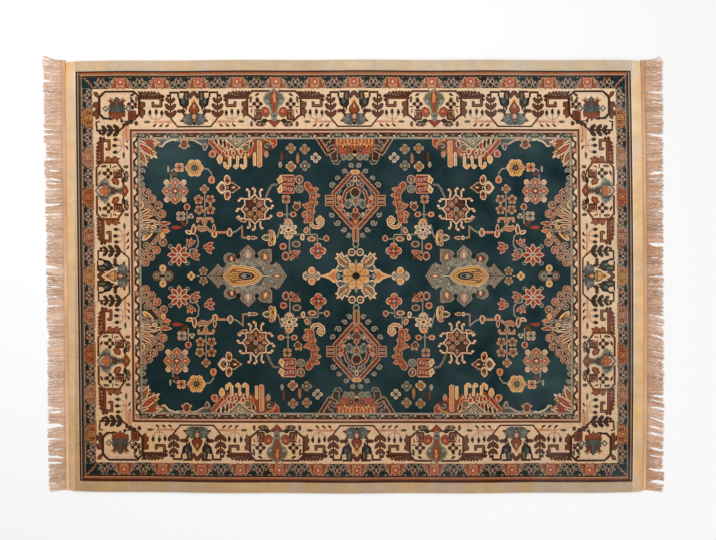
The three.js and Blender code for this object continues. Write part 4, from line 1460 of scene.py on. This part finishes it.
fringeEnds = [
    dict(name="fringeLeft", node="fringe_left", edge="left", outward=-1, phase=0.6, seed=4,
         lengthTop=70, lengthMiddle=64, lengthBottom=65, splayTop=17, splayBottom=16, drift=-3),
    dict(name="fringeRight", node="fringe_right", edge="right", outward=1, phase=2.3, seed=9,
         lengthTop=68, lengthMiddle=60, lengthBottom=64, splayTop=9, splayBottom=8, drift=-15),
]


# How far the tape reaches towards the bottom edge of the cloth, and towards the top one.
def tapeReach():
    half = cloth["halfWidth"]
    return half - tape["bottomInset"] - sideEdges["bottom"]["leftDrop"], half - tape["topInset"]


# The tape: the profile's height carried along the cloth's end edge, its top puckered in a slow wave.
def tapeSections(end):
    bottom, top = tapeReach()
    y = np.linspace(-bottom, top, tape["stations"])[:, None]
    across, height = np.array(tapeProfile).T[:, None]
    x = endEdgeX(end["edge"], y) + end["outward"] * (tape["gap"] + across * tape["width"])
    wave = 1 - tape["pucker"] * (1 + np.sin(2 * math.pi * y / tape["puckerLength"] + 5 * across))
    return placed(x, y, height * wave * tape["thickness"])[None]


# Each yarn of a tuft is drawn towards the tuft's middle by a share and lets go of a share of that at its tip.
# The tuft leans as one and ends a little shorter than the others.
def tuftPull(end, roots):
    draw = np.random.default_rng(end["seed"])
    squeeze, lean, rejoin, middle, shorter = (np.zeros(len(roots)) for k in range(5))
    first = 0
    while first < len(roots):
        last = min(first + int(draw.integers(tufts["fewest"], tufts["most"])), len(roots))
        middle[first:last] = roots[first:last].mean()
        squeeze[first:last] = tufts["squeezeMost"] * draw.uniform() ** tufts["evenness"]
        lean[first:last] = draw.normal(0, tufts["lean"])
        rejoin[first:last] = draw.uniform(tufts["rejoinLeast"], tufts["rejoinMost"])
        shorter[first:last] = tufts["shorter"] * abs(draw.normal(0, 1))
        first = last
    return squeeze, lean, rejoin, middle, shorter


# The yarns' centre lines: straight out from the tape, swaying and leaning as t to the power 1.4, gathered
# into tufts early on and partly let go at the tips, with a slow wander and a quick crinkle as sines of t.
def strandPaths(end):
    bottom, top = (reach - strands["endInset"] for reach in tapeReach())
    roots = np.linspace(-bottom, top, strands["count"])
    order, v = np.arange(strands["count"]), roots / cloth["halfWidth"]
    t = np.linspace(0, 1, strands["stations"])
    tips = np.where(v > 0, end["lengthTop"], end["lengthBottom"])
    length = end["lengthMiddle"] + (tips - end["lengthMiddle"]) * np.abs(v)
    length = length + strands["rootDepth"] + strands["lengthJitter"] * uneven(order, 5)
    splay = np.abs(roots / np.where(v > 0, top, bottom)) ** strands["splaySharpness"]
    sway = np.where(v > 0, end["splayTop"], -end["splayBottom"]) * splay
    sway = sway + end["drift"] * np.exp(-((v + 0.45) / 0.4) ** 2)
    for wave in swayWaves:
        sway = sway + wave["reach"] * np.sin(2 * math.pi * roots / wave["length"] + end["phase"]
                                             * wave["reach"])
    squeeze, lean, rejoin, middle, shorter = tuftPull(end, roots)
    length = length - shorter
    gather = np.minimum(t * 2.2, 1) ** 1.5 * (1 - np.outer(rejoin, np.clip(t * 2.5 - 1.5, 0, 1)))
    bend = np.outer(sway + lean, t ** 1.4) + ((middle - roots) * squeeze)[:, None] * gather
    phase = 6 * uneven(order, 3)[:, None]
    bend += strands["stray"] * np.sin(t * 5 + phase) * t
    bend += strands["crinkle"] * np.sin(t * 19 + 2 * phase) * np.minimum(t * 6, 1)
    start = endEdgeX(end["edge"], roots) + end["outward"] * (tape["gap"] + tape["width"]
                                                             - strands["rootDepth"])
    x = start[:, None] + end["outward"] * np.outer(length, t)
    lift = np.outer(np.clip(uneven(order, 8), 0, 1), np.sin(np.minimum(t * 1.15, 1) * math.pi) ** 2)
    return placed(x, roots[:, None] + bend, strands["radius"] + strands["lift"] * lift)


# Rings round the centre lines, thinner at the tips.
def strandSections(end):
    paths = strandPaths(end)
    turn = 2 * math.pi * np.arange(strands["sides"]) / strands["sides"] + math.pi / 2
    fat = strands["radius"] * np.interp(np.linspace(0, 1, strands["stations"]), [0, 0.8, 0.93, 1],
                                        [1, 1, 0.9, 0.45])
    ring = np.stack([0 * turn, np.cos(turn), np.sin(turn)], -1)
    return paths[:, :, None] + ring * fat[:, None, None]


# Closed tubes through sections, tubes x stations x points: walls and two end faces each. The map "strand"
# gives the tube's number with the way round it, and the millimetres along it. bakeRoom says how many tubes
# lie in line on the map OFBake, and the corner and size of their room there.
def addTubes(shape, sections, slot, bakeRoom):
    tubes, stations, sides = sections.shape[:3]
    index = shape.addPoints(sections)
    along = np.linalg.norm(np.diff(sections.mean(2), axis=1), axis=-1).cumsum(1)
    along = np.concatenate([np.zeros((tubes, 1)), along], 1)
    grid = np.broadcast_arrays(np.arange(tubes)[:, None, None], np.arange(stations - 1)[:, None],
                               np.arange(sides))
    tube, station, side = (a.ravel() for a in grid)
    corners = [(0, 0), (0, 1), (1, 1), (1, 0)]
    walls = np.stack([index[tube, station + s, (side + k) % sides] for s, k in corners], -1)
    places = np.stack([np.stack([tube + 0.01 + 0.98 * (side + k) / sides, along[tube, station + s]], -1)
                       for s, k in corners], 1)
    first, last = index[:, 0], index[:, -1, ::-1]
    ends = [np.stack([np.arange(tubes)[:, None] + 0.5 + 0 * first, 0 * first + along[:, where, None]], -1)
            for where in (0, -1)]
    centres = sections.mean(2)
    firstSide = sections[:, :-1, 1] - sections[:, :-1, 0]
    secondSide = sections[:, :-1, 2] - sections[:, :-1, 1]
    inside = np.einsum("tsi,tsi->", centres[:, 1:] - centres[:, :-1], np.cross(firstSide, secondSide))
    turned = -1 if inside > 0 else 1
    rows, (corner, size) = bakeRoom
    for faces, spots in ((walls, places), (first, ends[0]), (last, ends[1])):
        across = (spots[..., 1] / along.max() + np.floor(spots[..., 0]) % rows) / rows
        bake = np.stack([across, spots[..., 0] / tubes], -1) * size + corner
        shape.addFaces(faces[:, ::turned], slot, strand=spots[:, ::turned], OFBake=bake[:, ::turned])


def makeFringe(end, materials):
    shape = Surface()
    addTubes(shape, strandSections(end), 0, (4, ((0.005, 0.005), (0.985, 0.88))))
    addTubes(shape, tapeSections(end), 1, (1, ((0.005, 0.91), (0.985, 0.08))))
    return shape.build(end["name"], materials)


# The tape's colours, a painted shade darkening its inner edge where it meets the rug, and its stitches and
# ribs.
tapeLooks = dict(dark=(202, 148, 108), light=(236, 190, 152), edgeShadeColour=(60, 36, 20), edgeShade=0.4,
                 edgeShadeWidth=0.17, stitch=4.2, ribs=90, bump=0.4, roughness=0.7)
fringeLooks = dict(low=(168, 122, 88), mid=(226, 182, 148), high=(250, 222, 196), rootLength=12, twist=3.2,
                   bump=0.35, roughness=0.6, sheen=0.05, sheenRoughness=0.4,
                   shift=((-0.05, 0.06), (-0.09, 0.08), (-0.13, 0.1)))


# The yarn's colour, with a share of each of red, green and blue added per metre rightwards and upwards.
def shifted(board, colour, where):
    across, along = board.parts(where)[:2]
    tints = [1 + across * a + along * b for a, b in fringeLooks["shift"]]
    tint = board.node("ShaderNodeCombineXYZ", {}, dict(enumerate(tints)))
    return board.mix(1.0, colour, tint, "MULTIPLY")


def strandMaterial():
    board = Board("fringeYarn")
    place = board.node("ShaderNodeUVMap", dict(uv_map="strand"), {})
    x, y = board.parts(place)[:2]
    number = board.node("ShaderNodeCombineXYZ", {}, {0: x.floor()})
    tone = board.node("ShaderNodeTexWhiteNoise", dict(noise_dimensions="3D"), {"Vector": number})
    spiral = (x * (2 * math.pi) * 2 + y * (2 * math.pi / fringeLooks["twist"])).sine()
    where = board.node("ShaderNodeTexCoord", {}, {}, out="Object")
    patchy = board.noise(where, 14, 3, (0.5, 1, 1))
    factor = tone * 0.3 + patchy * 0.7 + spiral * 0.06
    stops = [(0.2, screenColour(*fringeLooks["low"])), (0.5, screenColour(*fringeLooks["mid"])),
             (0.85, screenColour(*fringeLooks["high"]))]
    bump = board.node("ShaderNodeBump", {}, {"Strength": fringeLooks["bump"], "Distance": 0.0006,
                                             "Height": spiral})
    # the yarns take on some of the tape's colour where they leave it
    colour = board.mix((1 - y / fringeLooks["rootLength"]).math("MAXIMUM", 0) * 0.5,
                       board.ramp(factor, stops), screenColour(*tapeLooks["dark"]))
    shader = board.node("ShaderNodeBsdfPrincipled", {}, {
        "Base Color": shifted(board, colour, where), "Roughness": fringeLooks["roughness"], "Normal": bump,
        "Sheen Weight": fringeLooks["sheen"], "Sheen Roughness": fringeLooks["sheenRoughness"]})
    return board.finish(shader)


def tapeMaterial():
    board = Board("fringeTape")
    place = board.node("ShaderNodeUVMap", dict(uv_map="strand"), {})
    x, y = board.parts(place)[:2]
    where = board.node("ShaderNodeTexCoord", {}, {}, out="Object")
    cloud = board.noise(where, 9, 4, (1, 0.4, 1))
    colour = board.ramp(cloud, [(0.3, screenColour(*tapeLooks["dark"])),
                                (0.7, screenColour(*tapeLooks["light"]))])
    # painted shade along the tape's inner edge, where it meets the rug
    edgeShade = (x < tapeLooks["edgeShadeWidth"]) * tapeLooks["edgeShade"]
    colour = board.mix(edgeShade, colour, screenColour(*tapeLooks["edgeShadeColour"]))
    stitch = (y * (2 * math.pi / tapeLooks["stitch"])).sine()
    rib = (x * tapeLooks["ribs"]).sine()
    bump = board.node("ShaderNodeBump", {}, {
        "Strength": tapeLooks["bump"], "Distance": 0.0006, "Height": stitch * 0.5 + rib * 0.5})
    shader = board.node("ShaderNodeBsdfPrincipled", {}, {
        "Base Color": colour, "Roughness": tapeLooks["roughness"], "Normal": bump})
    return board.finish(shader)


yarns = mirrored(paintedQuarter())
print("chart of", yarns.shape[1], "by", yarns.shape[0], "knots")
rug = makeCloth(yarns, [pileMaterial(), backingMaterial()])
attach(rug, "root")
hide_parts("rug_body")
fringeMaterials = [strandMaterial(), tapeMaterial()]
fringes = [makeFringe(end, fringeMaterials) for end in fringeEnds]
for end, fringe in zip(fringeEnds, fringes):
    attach(fringe, "root")
    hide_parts(end["node"])
print("fringes made")


# The camera straight above: its height, where it looks and how wide it sees, in metres; its sensor and the
# floor's reach and drop are in millimetres, and the floor's tone goes up to 255.
studio = dict(height=5.2, middleX=0.0164, middleY=0.0240, width=2.649, sensor=36, floorTone=252,
              floorRoughness=0.9, floorReach=9000, floorDrop=0.3, roomLight=0.55)
# Each soft box: where it stands in metres, how it is turned in degrees, its size in metres and its watts.
softBoxes = (
    dict(name="mainSoftbox", place=(-1.2, 1.6, 3.4), turn=(-22, -16, 0), size=(4.5, 3.5), power=84),
    dict(name="fillSoftbox", place=(2.2, -2.0, 3.0), turn=(30, 32, 0), size=(3.5, 3.0), power=35),
)


def makeFloor():
    board = Board("paleFloor")
    shader = board.node("ShaderNodeBsdfPrincipled", {}, {
        "Base Color": screenColour(*[studio["floorTone"]] * 3), "Roughness": studio["floorRoughness"]})
    corners = np.array([(-1.0, -1, 0), (1, -1, 0), (1, 1, 0), (-1, 1, 0)]) * studio["floorReach"]
    shape = Surface()
    shape.addFaces(shape.addPoints(corners - (0, 0, studio["floorDrop"]))[None], 0)
    shape.build("floor", [board.finish(shader)])


def makeCamera():
    lens = bpy.data.cameras.new("camera")
    lens.sensor_width = studio["sensor"]
    lens.lens = lens.sensor_width * studio["height"] / studio["width"]
    camera = bpy.data.objects.new("camera", lens)
    camera.location = (studio["middleX"], studio["middleY"], studio["height"])
    bpy.context.scene.collection.objects.link(camera)
    bpy.context.scene.camera = camera


def softLight(box):
    light = bpy.data.lights.new(box["name"], "AREA")
    light.shape = "RECTANGLE"
    light.size, light.size_y = box["size"]
    light.energy = box["power"]
    lamp = bpy.data.objects.new(box["name"], light)
    lamp.location = box["place"]
    lamp.rotation_euler = [math.radians(angle) for angle in box["turn"]]
    bpy.context.scene.collection.objects.link(lamp)


def makeStudio():
    makeFloor()
    for box in softBoxes:
        softLight(box)
    world = bpy.data.worlds.new("paleRoom")
    world.use_nodes = True
    background = world.node_tree.nodes["Background"]
    background.inputs["Color"].default_value = (1, 1, 1, 1)
    background.inputs["Strength"].default_value = studio["roomLight"]
    bpy.context.scene.world = world


makeCamera()
makeStudio()
bpy.context.scene.view_settings.view_transform = "Standard"
print("camera, lights and floor set")
